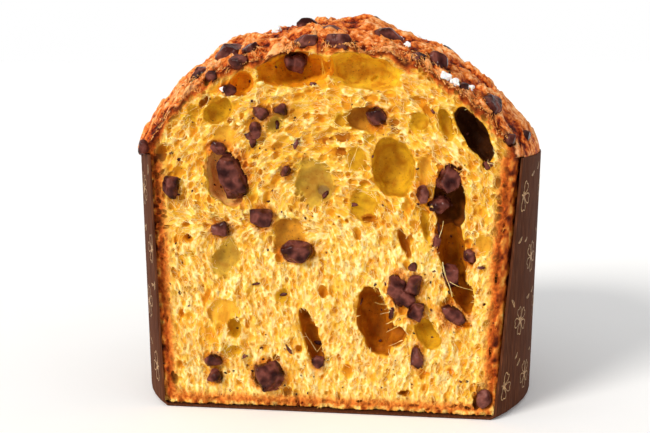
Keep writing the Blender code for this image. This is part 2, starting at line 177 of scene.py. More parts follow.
# Photograph's camera: angles in degrees, distances in millimetres
CAMERA_AZIMUTH = 7.5
CAMERA_ELEVATION = 8.8
CAMERA_DISTANCE = 465.0
CAMERA_AIM_RIGHT = -6.85
CAMERA_AIM_UP = 73.9
CAMERA_LENS = 57.6
SUN_FROM = (-0.56, -0.66, 0.52)
SUN_STRENGTH = 2.5
SUN_ANGLE = 20.0
FLOOR_HALF_METRES = 20.0
FLOOR_GAP = 0.2


# Shapes worked out as fields of numbers

NOISE_CELLS = 32


def value_noise(x, y, z, size, seed):
    """Smooth noise from -1 to 1 whose lumps are about the given size."""
    table = np.random.default_rng(seed).uniform(-1, 1, (NOISE_CELLS,) * 3).astype(np.float32)
    cells = []
    for value in (x, y, z):
        value = np.asarray(value, dtype=np.float32) / size
        low = np.floor(value).astype(np.int32)
        part = value - low
        cells.append((low % NOISE_CELLS, (low + 1) % NOISE_CELLS, part * part * (3 - 2 * part)))
    (x0, x1, fx), (y0, y1, fy), (z0, z1, fz) = cells

    def layer(k):
        front = table[x0, y0, k] + (table[x1, y0, k] - table[x0, y0, k]) * fx
        back = table[x0, y1, k] + (table[x1, y1, k] - table[x0, y1, k]) * fx
        return front + (back - front) * fy

    low = layer(z0)
    return low + (layer(z1) - low) * fz


def fade(value, start, end):
    """0 before start and 1 after end, with a smooth way between."""
    t = np.clip((np.asarray(value) - start) / (end - start), 0, 1)
    return t * t * (3 - 2 * t)


def cut_y(z):
    return -(CUT_OFFSET - CUT_LEAN * z)


def wall_radius(z):
    return BASE_RADIUS + (RIM_RADIUS - BASE_RADIUS) * z / RIM_HEIGHT


def baked_noise(x, y):
    """The part's own broad crags, read every 3 mm and blended between."""
    rough_x = np.arange(-93, 96, 3.0)
    rough_y = np.arange(-57, 93, 3.0)
    rough = np.array([[noise.noise(Vector((a, b, 0)) / CRAG_SIZE) for b in rough_y] for a in rough_x])
    u = np.clip((x - rough_x[0]) / 3.0, 0, len(rough_x) - 1.001)
    v = np.clip((y - rough_y[0]) / 3.0, 0, len(rough_y) - 1.001)
    i, j = u.astype(int), v.astype(int)
    u, v = u - i, v - j
    near = rough[i, j] * (1 - u) + rough[i + 1, j] * u
    far = rough[i, j + 1] * (1 - u) + rough[i + 1, j + 1] * u
    return near * (1 - v) + far * v


def dome_height(x, y):
    """The part's dome, without the fine crags."""
    reach = np.minimum(np.hypot(x - DOME_CENTRE_X, y) / DOME_RADIUS, 1.0)
    crest_y = CREST_BACK * (1.0 - reach ** 4)
    spread = np.minimum(np.hypot(x - DOME_CENTRE_X, y - crest_y) / DOME_RADIUS, 1.0)
    height = DOME_FOOT + DOME_RISE * (1.0 - spread ** DOME_FULLNESS) ** DOME_ROUNDING
    relief = CRAG_HEIGHT * baked_noise(x, y)
    for hump_x, hump_y, rise, width in HUMPS:
        relief = relief + rise * np.exp(-((x - hump_x) ** 2 + (y - hump_y) ** 2) / width ** 2)
    return height + relief * (1.0 - reach ** 6)


def fine_crags(x, y):
    """Flaky, cracked relief of a baked egg-washed crust, which stands up more on the dome's flanks."""
    warp_x = x + 2.0 * value_noise(x, y, 3.0, 6.0, 31)
    warp_y = y + 2.0 * value_noise(x, y, 9.0, 6.0, 32)
    lumps = 1.1 * value_noise(warp_x, warp_y, 0.5, 7.0, 11)
    lumps = lumps + 0.9 * value_noise(warp_x, warp_y, 4.5, 3.1, 12)
    lumps = lumps + 0.35 * value_noise(warp_x, warp_y, 7.5, 1.5, 13)
    crack = np.exp(-(value_noise(warp_x, warp_y, 2.5, 9.0, 14) / 0.055) ** 2)
    fine_crack = np.exp(-(value_noise(warp_x, warp_y, 5.5, 4.5, 15) / 0.07) ** 2)
    lumps = lumps + 0.5 * value_noise(0.4 * warp_x, warp_y, 1.5, 1.9, 16)
    flank = fade(np.hypot(x - DOME_CENTRE_X, y) / DOME_RADIUS, 0.3, 0.5)
    return np.minimum((1.2 + 0.5 * flank) * lumps - 0.6 - 1.6 * crack - 0.9 * fine_crack, 0.6 + 1.6 * flank)


def grain_tilt(x, z):
    """Which way the crumb was stretched: along the dome above, upright below."""
    around = np.degrees(np.arctan2(x, -(z - 62.0)))
    upright = 90.0 + 22.0 * value_noise(x, 0.0, z, 25.0, 24) - 0.25 * x
    share = fade(z, 60, 95)
    return around * share + upright * (1 - share) + 14.0 * value_noise(x, 9.0, z, 9.0, 25)


def streaks(x, z, size, seed):
    """Noise smeared along the grain of the crumb, from about -1 to 1."""
    turn = np.radians(grain_tilt(x, z))
    total = 0
    for step in range(-4, 5):
        shift = 0.6 * size * step
        total = total + value_noise(x + shift * np.cos(turn), 0.0, z + shift * np.sin(turn), size, seed)
    return total / 3.2


def face_relief(x, z):
    """How far the torn crumb lies behind the flat of the cut."""
    relief = 1.3 + 1.25 * value_noise(x, 0.5, z, 14.0, 21) + 0.6 * value_noise(x, 3.5, z, 5.0, 22)
    relief = relief + 0.3 * value_noise(x, 6.5, z, 2.2, 23) + 0.3 * streaks(x, z, 0.9, 26)
    relief = relief + 0.6 * streaks(x, z, 2.6, 28)
    return np.maximum(relief, 0.05)


def axis_steps(*stretches):
    """Grid places in stretches of (start, end, step)."""
    return np.concatenate([np.arange(a, b, step) for a, b, step in stretches]).astype(np.float32)


def window(axes, centre, reach):
    """The slices of a grid that a box round a centre covers."""
    slices = []
    for steps, middle, half in zip(axes, centre, reach):
        slices.append(slice(*np.searchsorted(steps, (middle - half, middle + half))))
    return tuple(slices)


def box_places(axes, box=(slice(None),) * 3):
    """The x, y and z of the grid places in a box, or in the whole grid."""
    return axes[0][box[0]][:, None, None], axes[1][box[1]][None, :, None], axes[2][box[2]][None, None, :]


def tilted(a, b, turn):
    """Lengths along and across an axis that is turned by an angle in radians."""
    return a * np.cos(turn) + b * np.sin(turn), b * np.cos(turn) - a * np.sin(turn)


def ball_distance(axes, box, centre, half_sizes, tilt):
    """Roughly how far each grid place in a box lies outside a tilted ellipsoid."""
    x, y, z = box_places(axes, box)
    along, across = tilted(x - centre[0], z - centre[2], math.radians(tilt))
    reach = np.sqrt((along / half_sizes[0]) ** 2 + ((y - centre[1]) / half_sizes[1]) ** 2
                    + (across / half_sizes[2]) ** 2)
    return (reach - 1) * min(half_sizes)


def carve(field, axes, centre, half_sizes, tilt, wobble, seed):
    """Take a tilted ellipsoid out of a field that is positive inside the crumb."""
    margin = max(half_sizes) * 1.15 + 2.0
    box = window(axes, centre, (margin, half_sizes[1] * 1.1 + 2.0, margin))
    distance = ball_distance(axes, box, centre, half_sizes, tilt)
    x, y, z = box_places(axes, box)
    distance = distance + wobble * value_noise(x, y, z, 4.5, 40 + seed)
    distance = distance + 0.3 * wobble * value_noise(x, y, z, 1.8, 60 + seed)
    field[box] = np.minimum(field[box], distance)


CUBE_CORNERS = [(i, j, k) for i in (0, 1) for j in (0, 1) for k in (0, 1)]
CUBE_EDGES = [(a, b) for a in range(8) for b in range(a + 1, 8)
              if sum(p != q for p, q in zip(CUBE_CORNERS[a], CUBE_CORNERS[b])) == 1]


def skin(field, axes):
    """Points and four-cornered faces of the surface where a field is zero."""
    solid = field > 0
    shape = [n - 1 for n in field.shape]
    some = np.zeros(shape, bool)
    every = np.ones(shape, bool)
    for i, j, k in CUBE_CORNERS:
        part = solid[i:i + shape[0], j:j + shape[1], k:k + shape[2]]
        some |= part
        every &= part
    mixed = some & ~every
    cell = np.nonzero(mixed)
    number = np.full(shape, -1, np.int32)
    number[mixed] = np.arange(len(cell[0]), dtype=np.int32)
    corner_values = []
    corner_places = []
    for i, j, k in CUBE_CORNERS:
        spot = (cell[0] + i, cell[1] + j, cell[2] + k)
        corner_values.append(field[spot])
        corner_places.append(np.stack([axes[n][spot[n]] for n in range(3)], 1))
    total = np.zeros((len(cell[0]), 3), np.float32)
    count = np.zeros(len(cell[0]), np.float32)
    for a, b in CUBE_EDGES:
        va, vb = corner_values[a], corner_values[b]
        crossed = (va > 0) != (vb > 0)
        part = np.where(crossed, va / np.where(crossed, va - vb, 1), 0)[:, None]
        place = corner_places[a] + (corner_places[b] - corner_places[a]) * part
        total += place * crossed[:, None]
        count += crossed
    points = total / count[:, None]
    faces = []
    for axis in range(3):
        first, second = (axis + 1) % 3, (axis + 2) % 3
        low = [slice(None)] * 3
        high = [slice(None)] * 3
        low[axis], high[axis] = slice(None, -1), slice(1, None)
        for other in (first, second):
            low[other] = high[other] = slice(1, -1)
        below, above = solid[tuple(low)], solid[tuple(high)]
        spot = [n + (0 if k == axis else 1) for k, n in enumerate(np.nonzero(below != above))]
        outward = below[below != above]
        ring = []
        for back_first, back_second in ((1, 1), (0, 1), (0, 0), (1, 0)):
            place = list(spot)
            place[first] = spot[first] - back_first
            place[second] = spot[second] - back_second
            ring.append(number[tuple(place)])
        quads = np.stack(ring, 1)
        quads[~outward] = quads[~outward][:, ::-1]
        faces.append(quads)
    return points, np.concatenate(faces)


def vertex_normals(points, faces):
    across = points[faces[:, 2]] - points[faces[:, 0]]
    along = points[faces[:, 3]] - points[faces[:, 1]]
    face_normals = np.cross(across, along)
    total = np.zeros_like(points)
    for k in range(4):
        for axis in range(3):
            total[:, axis] += np.bincount(faces[:, k], face_normals[:, axis], len(points))
    return total / np.maximum(np.linalg.norm(total, axis=1), 1e-9)[:, None]


def connected(faces, count):
    """A label for every point, the same all over one connected body."""
    label = np.arange(count)
    ends = np.concatenate([faces[:, [0, 1]], faces[:, [1, 2]], faces[:, [2, 3]]])
    while True:
        low = np.minimum(label[ends[:, 0]], label[ends[:, 1]])
        before = label.copy()
        np.minimum.at(label, ends[:, 0], low)
        np.minimum.at(label, ends[:, 1], low)
        label = label[label]
        if np.array_equal(before, label):
            return label


def keep_large_bodies(points, faces, least):
    """Drop closed bubbles and loose scraps with fewer points than least."""
    label = connected(faces, len(points))
    size = np.bincount(label, minlength=len(points))
    good = size[label] >= least
    return pick_faces(points, faces, good[faces[:, 0]])[:2]


def pick_faces(points, faces, chosen):
    """The chosen faces with only their own points, and which points those are."""
    part = faces[chosen]
    used, renumbered = np.unique(part, return_inverse=True)
    return points[used], renumbered.reshape(part.shape), used


# Meshes and pieces

def make_piece(name, points, faces, look, slot_name, replaced=(), normals=None, marks=None):
    """A smooth mesh piece from points in millimetres, riding on the part's only body."""
    mesh = bpy.data.meshes.new(name)
    mesh.from_pydata(np.asarray(points, dtype=float) * MM, [], np.asarray(faces))
    mesh.materials.append(look)
    mesh.shade_smooth()
    for key, values in (marks or {}).items():
        if values.ndim == 2:
            mark = mesh.attributes.new(key, "FLOAT_COLOR", "POINT")
            mark.data.foreach_set("color", np.asarray(values, np.float32).ravel())
        else:
            mark = mesh.attributes.new(key, "FLOAT", "POINT")
            mark.data.foreach_set("value", np.asarray(values, np.float32))
    if normals is not None:
        mesh.normals_split_custom_set_from_vertices(normals)
    piece = bpy.data.objects.new(name, mesh)
    bpy.context.scene.collection.objects.link(piece)
    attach(piece, BODY)
    if replaced:
        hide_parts(*replaced)
    return piece


class Joined:
    """Points and four-cornered faces of many small things, gathered into one mesh."""

    def __init__(self):
        self.points = []
        self.faces = []
        self.count = 0

    def add(self, points, faces):
        self.points.append(np.asarray(points, dtype=float))
        self.faces.append(np.asarray(faces) + self.count)
        self.count += len(points)

    def mesh(self):
        return np.concatenate(self.points), np.concatenate(self.faces)


# Materials

def linear(hex_colour):
    """An sRGB hex colour as the linear numbers that a shader takes."""
    values = [int(hex_colour[k:k + 2], 16) / 255 for k in (1, 3, 5)]
    return tuple(v / 12.92 if v <= 0.04045 else ((v + 0.055) / 1.055) ** 2.4 for v in values) + (1.0,)


def per_metre(size_mm):
    """A pattern's scale from the real size of one of its features."""
    return 1.0 / (size_mm * MM)


# Settings and inputs that a kind of node has here where a call states no others
USUAL_SETTINGS = {"Math": {"operation": "MULTIPLY_ADD"}, "Mix": {"data_type": "RGBA"}}
USUAL_INPUTS = {"TexNoise": {"Detail": 2.0, "Roughness": 0.55}}
# A colour mix's inputs: the second colour's share, and the two colours
SHARE, FIRST, SECOND = 0, 6, 7


def link(value, target):
    """Link a node's first output in use, or the output that is given, to an input."""
    if isinstance(value, bpy.types.Node):
        value = next(output for output in value.outputs if output.enabled)
    target.id_data.links.new(value, target)


def add_node(tree, kind, inputs=None, stops=(), **settings):
    """Add a node with its settings, its input values or links, and a ramp's stops."""
    node = tree.nodes.new("ShaderNode" + kind)
    for key, value in {**USUAL_SETTINGS.get(kind, {}), **settings}.items():
        setattr(node, key, value)
    for key, value in {**USUAL_INPUTS.get(kind, {}), **(inputs or {})}.items():
        if isinstance(value, (bpy.types.Node, bpy.types.NodeSocket)):
            link(value, node.inputs[key])
        else:
            node.inputs[key].default_value = value
    for k, (position, colour) in enumerate(stops):
        ramp = node.color_ramp.elements
        element = ramp[k] if k < len(ramp) else ramp.new(position)
        element.position = position
        element.color = linear(colour) if isinstance(colour, str) else (colour, colour, colour, 1)
    return node


def new_material(name, **surface):
    """A material, what adds nodes to it, and its shader with values set on the shader's own sockets."""
    material = bpy.data.materials.new(name)
    material.use_nodes = True
    shader = material.node_tree.nodes["Principled BSDF"]
    for key, value in surface.items():
        shader.inputs[key.replace("_", " ")].default_value = value
    return material, partial(add_node, material.node_tree), shader


def weighed(add, total, *parts):
    """A value with more values added to it, each times its weight."""
    for value, weight in parts:
        total = add("Math", {0: value, 1: weight, 2: total})
    return total


def coated(add, colour, *coats):
    """A colour with more laid over it, each coat with its share, its colour and how it mixes."""
    for share, coat, mode in coats:
        coat = linear(coat) if isinstance(coat, str) else coat
        colour = add("Mix", {SHARE: share, FIRST: colour, SECOND: coat}, blend_type=mode)
    return colour


def finish(add, shader, colour, height=None, strength=0.0, depth_mm=0.0, roughness=None):
    """Give a shader its colour, and where they are stated its fine relief and uneven roughness."""
    link(colour, shader.inputs["Base Color"])
    if height is not None:
        relief = add("Bump", {"Height": height, "Strength": strength, "Distance": depth_mm * MM})
        link(relief, shader.inputs["Normal"])
    if roughness is not None:
        link(roughness, shader.inputs["Roughness"])


def bread_material():
    """Baked brioche dough: moist open yellow crumb that glows a little where thin, with painted highlight
    on its ridges and painted shade in its cells, under a browned egg-washed crust, dark and slightly shiny
    on the crags, with painted shade in their cracks, and orange where it was torn or pale."""
    material, add, shader = new_material("baked_brioche", Subsurface_Weight=0.25, Subsurface_Scale=0.0022,
                                         Subsurface_Radius=(1.0, 0.62, 0.22), IOR=1.4,
                                         Specular_IOR_Level=0.12)
    places = add("TexCoord").outputs["Object"]
    marks = {key: add("Attribute", attribute_name=key).outputs["Fac"] for key in
             ("sunk", "bake", "outside", "cocoa", "fibre", "crag", "torn")}
    lining_mark = add("Attribute", attribute_name="lining").outputs
    # Lumps in millimetres, detail and roughness: specks of crumb, warmer patches, fibres, the uneven
    # sheen of a hollow's lining, dots on it, and flakes of crust
    speck, patch, fibre, wash, dot, flake = [
        add("TexNoise", {"Vector": places, "Scale": per_metre(size), "Detail": detail, "Roughness": rough})
        for size, detail, rough in ((1.1, 2.0, 0.55), (7.0, 2.0, 0.55), (0.45, 2.0, 0.55),
                                    (5.0, 3.0, 0.55), (0.8, 1.0, 0.55), (2.4, 5.0, 0.72))]
    # Crumb: painted highlight on its ridges and grain streaks, painted shade of deeper gold down in its
    # cells
    sunk = weighed(add, 0.0, (marks["sunk"], 1 / CELL_SHADE_DEPTH), (speck, 0.22), (marks["fibre"], -0.22))
    crumb = add("ValToRGB", {0: sunk}, [
        (0.0, "#FFE9A2"), (0.10, "#F5CA5E"), (0.28, "#E9B133"), (0.52, "#D6921E"), (0.95, "#B2680E")])
    warm = add("ValToRGB", {0: patch}, [(0.35, 0.0), (0.75, 0.5)])
    crumb = coated(add, crumb, (warm, "#F6C145", "MULTIPLY"))
    # Lining of a hollow: a smooth skin, darker and milky by turns, with brown dots
    shade = add("ValToRGB", {0: wash}, [(0.36, 0.6), (0.52, 0.0)])
    milky = add("ValToRGB", {0: wash}, [(0.50, 0.0), (0.70, 0.8)])
    dots = add("ValToRGB", {0: dot}, [(0.66, 0.0), (0.71, 0.55)])
    lining = coated(add, lining_mark["Color"], (shade, "#D0A070", "MULTIPLY"),
                    (milky, "#FFF0C8", "SOFT_LIGHT"), (dots, "#5A2C0C", "MIX"))
    # Painted warm shade in the gaps round the chunks, and smears that melted chocolate left there
    warm_shade_by_chunks = weighed(add, 0.0, (marks["cocoa"], 0.75))
    smear = add("ValToRGB", {0: weighed(add, 0.0, (marks["cocoa"], speck))}, [(0.36, 0.0), (0.6, 0.6)])
    lined = coated(add, crumb, (lining_mark["Alpha"], lining, "MIX"), (warm_shade_by_chunks, "#F2A860", "MULTIPLY"),
                   (smear, "#8A4A20", "MIX"))
    # Cut edge of the crust: brown outside, golden inwards, with dark slots of painted shade
    bake = weighed(add, 0.0, (marks["bake"], 1 / BROWN_DEPTH), (speck, 2.6 / BROWN_DEPTH))
    baked = add("ValToRGB", {0: bake}, [
        (0.17, "#521A06"), (0.29, "#963C10"), (0.40, "#C8621E"), (0.52, "#E8923A"), (0.66, "#F4C45A")])
    slot_shade = add("MapRange", {"Value": marks["sunk"], "From Min": 0.6, "From Max": 2.2, "To Max": 0.85})
    baked = coated(add, baked, (slot_shade, "#421405", "MIX"))
    baked_share = add("ValToRGB", {0: bake}, [(0.52, 1.0), (0.80, 0.0)])
    section = coated(add, lined, (baked_share, baked, "MIX"))
    # Crust from outside: dark in the cracks and lows as painted shade, orange on the flakes, paler where it
    # tore
    tone = weighed(add, -0.51, (patch, 0.2), (flake, 1.15), (marks["crag"], 0.42), (marks["torn"], 0.1))
    crust = add("ValToRGB", {0: tone}, [
        (0.22, "#430C00"), (0.34, "#962F04"), (0.45, "#CC621E"), (0.56, "#EA8A3E"), (0.70, "#FFC086")])
    tear = add("ValToRGB", {0: weighed(add, 0.0, (marks["torn"], flake))}, [(0.36, 0.0), (0.60, 0.75)])
    crust = coated(add, crust, (tear, "#F6A654", "MIX"))
    colour = coated(add, section, (marks["outside"], crust, "MIX"))
    # The egg-washed outside is smoother than the crumb, and finely wrinkled across the dome
    roughness = weighed(add, 0.58, (marks["outside"], -0.16), (speck, 0.2))
    drawn_out = add("Mapping", {"Vector": places, "Scale": (0.4, 1.0, 1.0)})
    wrinkle = add("TexNoise", {"Vector": drawn_out, "Scale": per_metre(1.5), "Detail": 4.0,
                               "Roughness": 0.65})
    wrinkle = weighed(add, 0.0, (wrinkle, marks["outside"]))
    height = weighed(add, speck, (fibre, 0.5), (wrinkle, 5.0))
    finish(add, shader, colour, height, 0.35, 0.4, roughness)
    return material


def chocolate_material(name, dark, pale, shine, sheen_and_bloom):
    """Dark baking chocolate, once melted and set: satin to glossy red-brown, with paler patches of painted
    sheen, partly bloom on the dull chunks.
    """
    material, add, shader = new_material(name, IOR=1.46, Specular_IOR_Level=0.15)
    places = add("TexCoord").outputs["Object"]
    # Patches of painted sheen, partly bloom, of 5 mm, and shallow dents of 2.2 mm
    patch, dent = [add("TexNoise", {"Vector": places, "Scale": per_metre(size), "Detail": 1.5})
                   for size in (5.0, 2.2)]
    share = add("ValToRGB", {0: patch}, [
        (0.36, 0.0), (0.48, 0.3 * sheen_and_bloom), (0.60, sheen_and_bloom), (0.72, 0.6 * sheen_and_bloom)])
    colour = coated(add, linear(dark), (share, pale, "MIX"))
    finish(add, shader, colour, dent, 0.9, 1.0, weighed(add, shine, (share, 0.3)))
    return material


def sugar_material():
    """Pearl sugar, pressed from fine crystals: opaque white with a faint sparkle."""
    material, add, shader = new_material("pearl_sugar", Subsurface_Weight=0.3, Subsurface_Scale=0.001,
                                         Roughness=0.45, IOR=1.5)
    places = add("TexCoord").outputs["Object"]
    # Faces of 1 mm, and single crystals of 0.4 mm
    face, crystal = [add("TexNoise", {"Vector": places, "Scale": per_metre(size)}) for size in (1.0, 0.4)]
    finish(add, shader, coated(add, linear("#EFE6E2"), (face, "#FFFDFB", "MIX")), crystal, 0.5, 0.3)
    return material


def paper_material():
    """Brown greaseproof baking paper, corrugated and pressed: matt, with long fibres and darker
    patches where butter has soaked in."""
    material, add, shader = new_material("greaseproof_paper", Roughness=0.75, IOR=1.45,
                                         Specular_IOR_Level=0.08)
    places = add("TexCoord").outputs["Object"]
    # Fibres 0.8 mm wide and twelve times as long, and soaked patches of 22 mm
    upright = add("Mapping", {"Vector": places, "Scale": (1.0, 1.0, 0.08)})
    streak = add("TexNoise", {"Vector": upright, "Scale": per_metre(0.8), "Detail": 3.0})
    soak = add("TexNoise", {"Vector": places, "Scale": per_metre(22.0)})
    where = add("SeparateXYZ", {"Vector": places}).outputs
    around = add("Math", {0: where["Y"], 1: where["X"]}, operation="ARCTAN2")
    rib = add("Math", {0: weighed(add, streak, (around, PAPER_RIBS))}, operation="SINE")
    # Painted shade darkens the valleys between the ribs
    rib_valley_shade = add("MapRange", {"Value": rib, "From Min": -1.0, "To Min": 0.45, "To Max": 0.0})
    colour = add("ValToRGB", {0: streak}, [(0.25, "#44220F"), (0.5, "#5E341E"), (0.75, "#7A4A2E")])
    colour = coated(add, colour, (soak, "#D8C8C0", "MULTIPLY"), (rib_valley_shade, "#3A1C0E", "MIX"))
    finish(add, shader, colour, weighed(add, streak, (rib, 0.5)), 0.5, 0.3)
    return material


def gold_ink_material():
    """Matt gold ink, rolled onto rough paper: broken in small worn spots."""
    material, add, shader = new_material("matt_gold_ink", Roughness=0.5, Metallic=0.35)
    # Worn spots of 1.2 mm
    worn = add("TexNoise", {"Vector": add("TexCoord").outputs["Object"], "Scale": per_metre(1.2)})
    whole = add("ValToRGB", {0: worn}, [(0.4, 0.0), (0.6, 1.0)])
    finish(add, shader, coated(add, linear("#8A6440"), (whole, "#C69A62", "MIX")))
    return material


# The loaf

def loaf_axes():
    fine = 0.5
    return (axis_steps((-90, 90, fine)), axis_steps((-51, -41, fine), (-41, -25, 1.6 * fine)),
            axis_steps((0, 165, fine)))


def outer_depth(axes, height, lean):
    """How far each grid place lies inside the whole loaf's outside."""
    x, y, z = box_places(axes)
    top = (height[:, :, None] - z) * lean[:, :, None]
    shrink = 0.9 * fade(x, 45, 62) * fade(z, 12, 30) + 0.9 * np.abs(value_noise(x, y, z, 3.5, 53))
    above = np.hypot(x - DOME_CENTRE_X, y)
    wall = np.where(z > RIM_HEIGHT, DOME_RADIUS - DOME_INSET - above,
                    wall_radius(z) - WALL_INSET - np.hypot(x, y) - shrink)
    return np.minimum(np.minimum(top, wall), z - LOAF_FLOOR).astype(np.float32)


def carve_hollows(field, axes):
    for k, (x, z, length, width, tilt, depth, _) in enumerate(HOLLOWS):
        centre = (x, cut_y(z) + 0.1 * depth, z)
        wobble = 0.9 if min(length, width) > 6 else 0.4
        carve(field, axes, centre, (length / 2, depth, width / 2), tilt, wobble, k)


def crust_slots(draw):
    """Flat dark slots that follow the side and bottom crust in the section."""
    slots = []
    for side in (-1, 1):
        z = 10.0
        while z < 104.0:
            length = draw.uniform(3, 11)
            edge = math.sqrt(max(wall_radius(z) ** 2 - cut_y(z) ** 2, 0)) - WALL_INSET
            slots.append((side * (edge - draw.uniform(1.8, 3.4)), z + length / 2, length,
                          draw.uniform(0.8, 1.6), 90 - side * 1.5, draw.uniform(1.5, 3)))
            z += length + draw.uniform(1, 7)
    x = -64.0
    while x < 62.0:
        length = draw.uniform(1.5, 6)
        slots.append((x + length / 2, LOAF_FLOOR + draw.uniform(1.2, 3.6), length,
                      draw.uniform(0.7, 1.4), draw.uniform(-25, 25), draw.uniform(1.5, 3)))
        x += length + draw.uniform(0.5, 4)
    return slots


# Sheets of small bubbles along the torn face: pitch, smallest and largest radius, share kept in the
# cottony crumb below and in the lacy crumb above
CELL_SHEETS = [(3.6, 0.8, 1.7, 0.13, 0.4), (2.0, 0.55, 1.0, 0.4, 0.3), (1.2, 0.38, 0.6, 0.85, 0.7)]
LACE_PITCH = 2.9
LACE_WALL = 0.42


def laciness(x, z):
    """1 where the crumb is an open lace of cells, 0 where it is cottony."""
    return fade(z + 14.0 * value_noise(x, 2.0, z, 22.0, 94), 58, 80)


def cell_sheet(axes, pitch, least, most, kept_low, kept_high, seed):
    """How far each grid place lies outside the nearest bubble of one sheet."""
    draw = np.random.default_rng(seed)
    columns = int(200 / pitch) + 3
    rows = int(180 / pitch) + 3
    i, k = np.meshgrid(np.arange(columns), np.arange(rows), indexing="ij")
    x = (i + draw.uniform(0, 1, i.shape)) * pitch - 100
    z = (k + draw.uniform(0, 1, i.shape)) * pitch - 6
    radius = draw.uniform(least, most, i.shape)
    sunk = draw.uniform(-0.1, 0.75, i.shape) * radius
    turn = np.radians(grain_tilt(x, z) + draw.uniform(-30, 30, i.shape))
    stretch = draw.uniform(1.1, 2.4, i.shape)
    squash = draw.uniform(0.8, 1.4, i.shape)
    kept = kept_low + (kept_high - kept_low) * laciness(x, z)
    radius = np.where(draw.uniform(0, 1, i.shape) < kept, radius, 1e-3)
    y = cut_y(z) + face_relief(x, z) + sunk
    grid_x, grid_z = np.meshgrid(axes[0], axes[2], indexing="ij")
    home_i = np.floor((grid_x + 100) / pitch).astype(int)
    home_k = np.floor((grid_z + 6) / pitch).astype(int)
    nearest = np.full((len(axes[0]), len(axes[1]), len(axes[2])), 9.0, np.float32)
    for step_i in (-1, 0, 1):
        for step_k in (-1, 0, 1):
            spot = (home_i + step_i, home_k + step_k)
            along, across = tilted(grid_x - x[spot], grid_z - z[spot], turn[spot])
            size = radius[spot]
            flat = (((along / stretch[spot]) ** 2 + across ** 2) / size ** 2).astype(np.float32)[:, None, :]
            dy = axes[1][None, :, None] - y[spot].astype(np.float32)[:, None, :]
            deep = (dy / (size * squash[spot]).astype(np.float32)[:, None, :]) ** 2
            reach = (np.sqrt(flat + deep) - 1) * size.astype(np.float32)[:, None, :]
            np.minimum(nearest, reach, out=nearest)
    return nearest


def lace_sheet(axes):
    """Cells that meet in thin walls: how open each place of the face is, and how deep its cell goes."""
    draw = np.random.default_rng(88)
    columns, rows = int(220 / LACE_PITCH), int(200 / LACE_PITCH)
    i, k = np.meshgrid(np.arange(columns), np.arange(rows), indexing="ij")
    x = (i + draw.uniform(0.05, 0.95, i.shape)) * LACE_PITCH - 110
    z = (k + draw.uniform(0.05, 0.95, i.shape)) * LACE_PITCH - 16
    deep = draw.uniform(0.5, 2.2, i.shape) * (draw.uniform(0, 1, i.shape) < 0.85)
    grid_x, grid_z = np.meshgrid(axes[0], axes[2], indexing="ij")
    turn = np.radians(grain_tilt(grid_x, grid_z))
    home_i = np.floor((grid_x + 110) / LACE_PITCH).astype(int)
    home_k = np.floor((grid_z + 16) / LACE_PITCH).astype(int)
    nearest = np.full(grid_x.shape, 99.0)
    second = nearest.copy()
    depth = np.zeros(grid_x.shape)
    for step_i in range(-2, 3):
        for step_k in range(-2, 3):
            spot = (home_i + step_i, home_k + step_k)
            along, across = tilted(grid_x - x[spot], grid_z - z[spot], turn)
            reach = np.hypot(along / 1.5, across)
            closer = reach < nearest
            second = np.where(closer, nearest, np.minimum(second, reach))
            depth = np.where(closer, deep[spot], depth)
            nearest = np.where(closer, reach, nearest)
    rim = 0.5 * value_noise(grid_x, 4.0, grid_z, 1.6, 95)
    open_by = second - nearest - LACE_WALL + 0.3 * rim - 3.0 * (1 - laciness(grid_x, grid_z))
    bowl = depth * np.sqrt(np.clip(1 - (nearest / (0.8 * LACE_PITCH)) ** 2, 0, 1))
    return open_by, bowl


def blow_bubbles(field, room, axes, draw):
    """Blow the larger round bubbles, each kept off its neighbours and the large hollows by a wall."""
    x = draw.uniform(-80, 80, ROUND_BUBBLES)
    z = draw.uniform(6, 154, ROUND_BUBBLES)
    radius = 1.3 + 2.2 * draw.uniform(0, 1, ROUND_BUBBLES) ** 2.5
    sunk = draw.uniform(-0.5, 0.3, ROUND_BUBBLES) * radius
    y = cut_y(z) + face_relief(x, z) + sunk
    tilt = grain_tilt(x, z) + draw.uniform(-25, 25, ROUND_BUBBLES)
    shape = draw.uniform(0.8, 1.5, (ROUND_BUBBLES, 2))
    spot = [np.clip(np.searchsorted(steps, place), 0, len(steps) - 1)
            for steps, place in zip(axes, (x, y, z))]
    wanted = draw.uniform(0, 1, ROUND_BUBBLES) < 0.35 + 0.65 * laciness(x, z)
    for n in range(ROUND_BUBBLES):
        if not wanted[n] or room[spot[0][n], spot[1][n], spot[2][n]] < 1.1 * radius[n] + 0.5:
            continue
        sizes = (radius[n] * shape[n, 0], radius[n] * shape[n, 1], radius[n])
        for target in (room, field):
            carve(target, axes, (x[n], y[n], z[n]), sizes, tilt[n], 0.25, n % 7)


def outside_planes(planes, x, y, z):
    """How far each place lies outside the space inside a set of planes."""
    reach = np.float32(-99.0)
    for (nx, ny, nz), offset in planes:
        reach = np.maximum(reach, nx * x + ny * y + nz * z - offset)
    return reach


def chunk_boxes(start=""):
    """The name, middle and half sizes of each chunk whose name starts so, in millimetres."""
    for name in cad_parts:
        if "chunk" in name and name.startswith(start):
            low, high = (np.array(corner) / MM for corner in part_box(name))
            yield name, (low + high) / 2, (high - low) / 2


def chunk_hollows(field, axes):
    """A narrow shadow gap round each chunk, left as the crumb sprang back from it."""
    for name, middle, half in chunk_boxes():
        box = window(axes, middle, half + 2.5)
        x, y, z = box_places(axes, box)
        if 0 in (x.size, y.size, z.size):
            continue
        gap = outside_planes(node_planes(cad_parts[name]), x, y, z)
        gap = gap - 0.25 + 0.5 * value_noise(x, y, z, 2.2, 33)
        field[box] = np.minimum(field[box], gap)


def node_planes(node):
    """The flat sides of a CAD node, as outward directions and offsets."""
    return [(tuple(face.normal), face.normal.dot(face.center) / MM) for face in node.data.polygons
            if face.area > 1e-8]


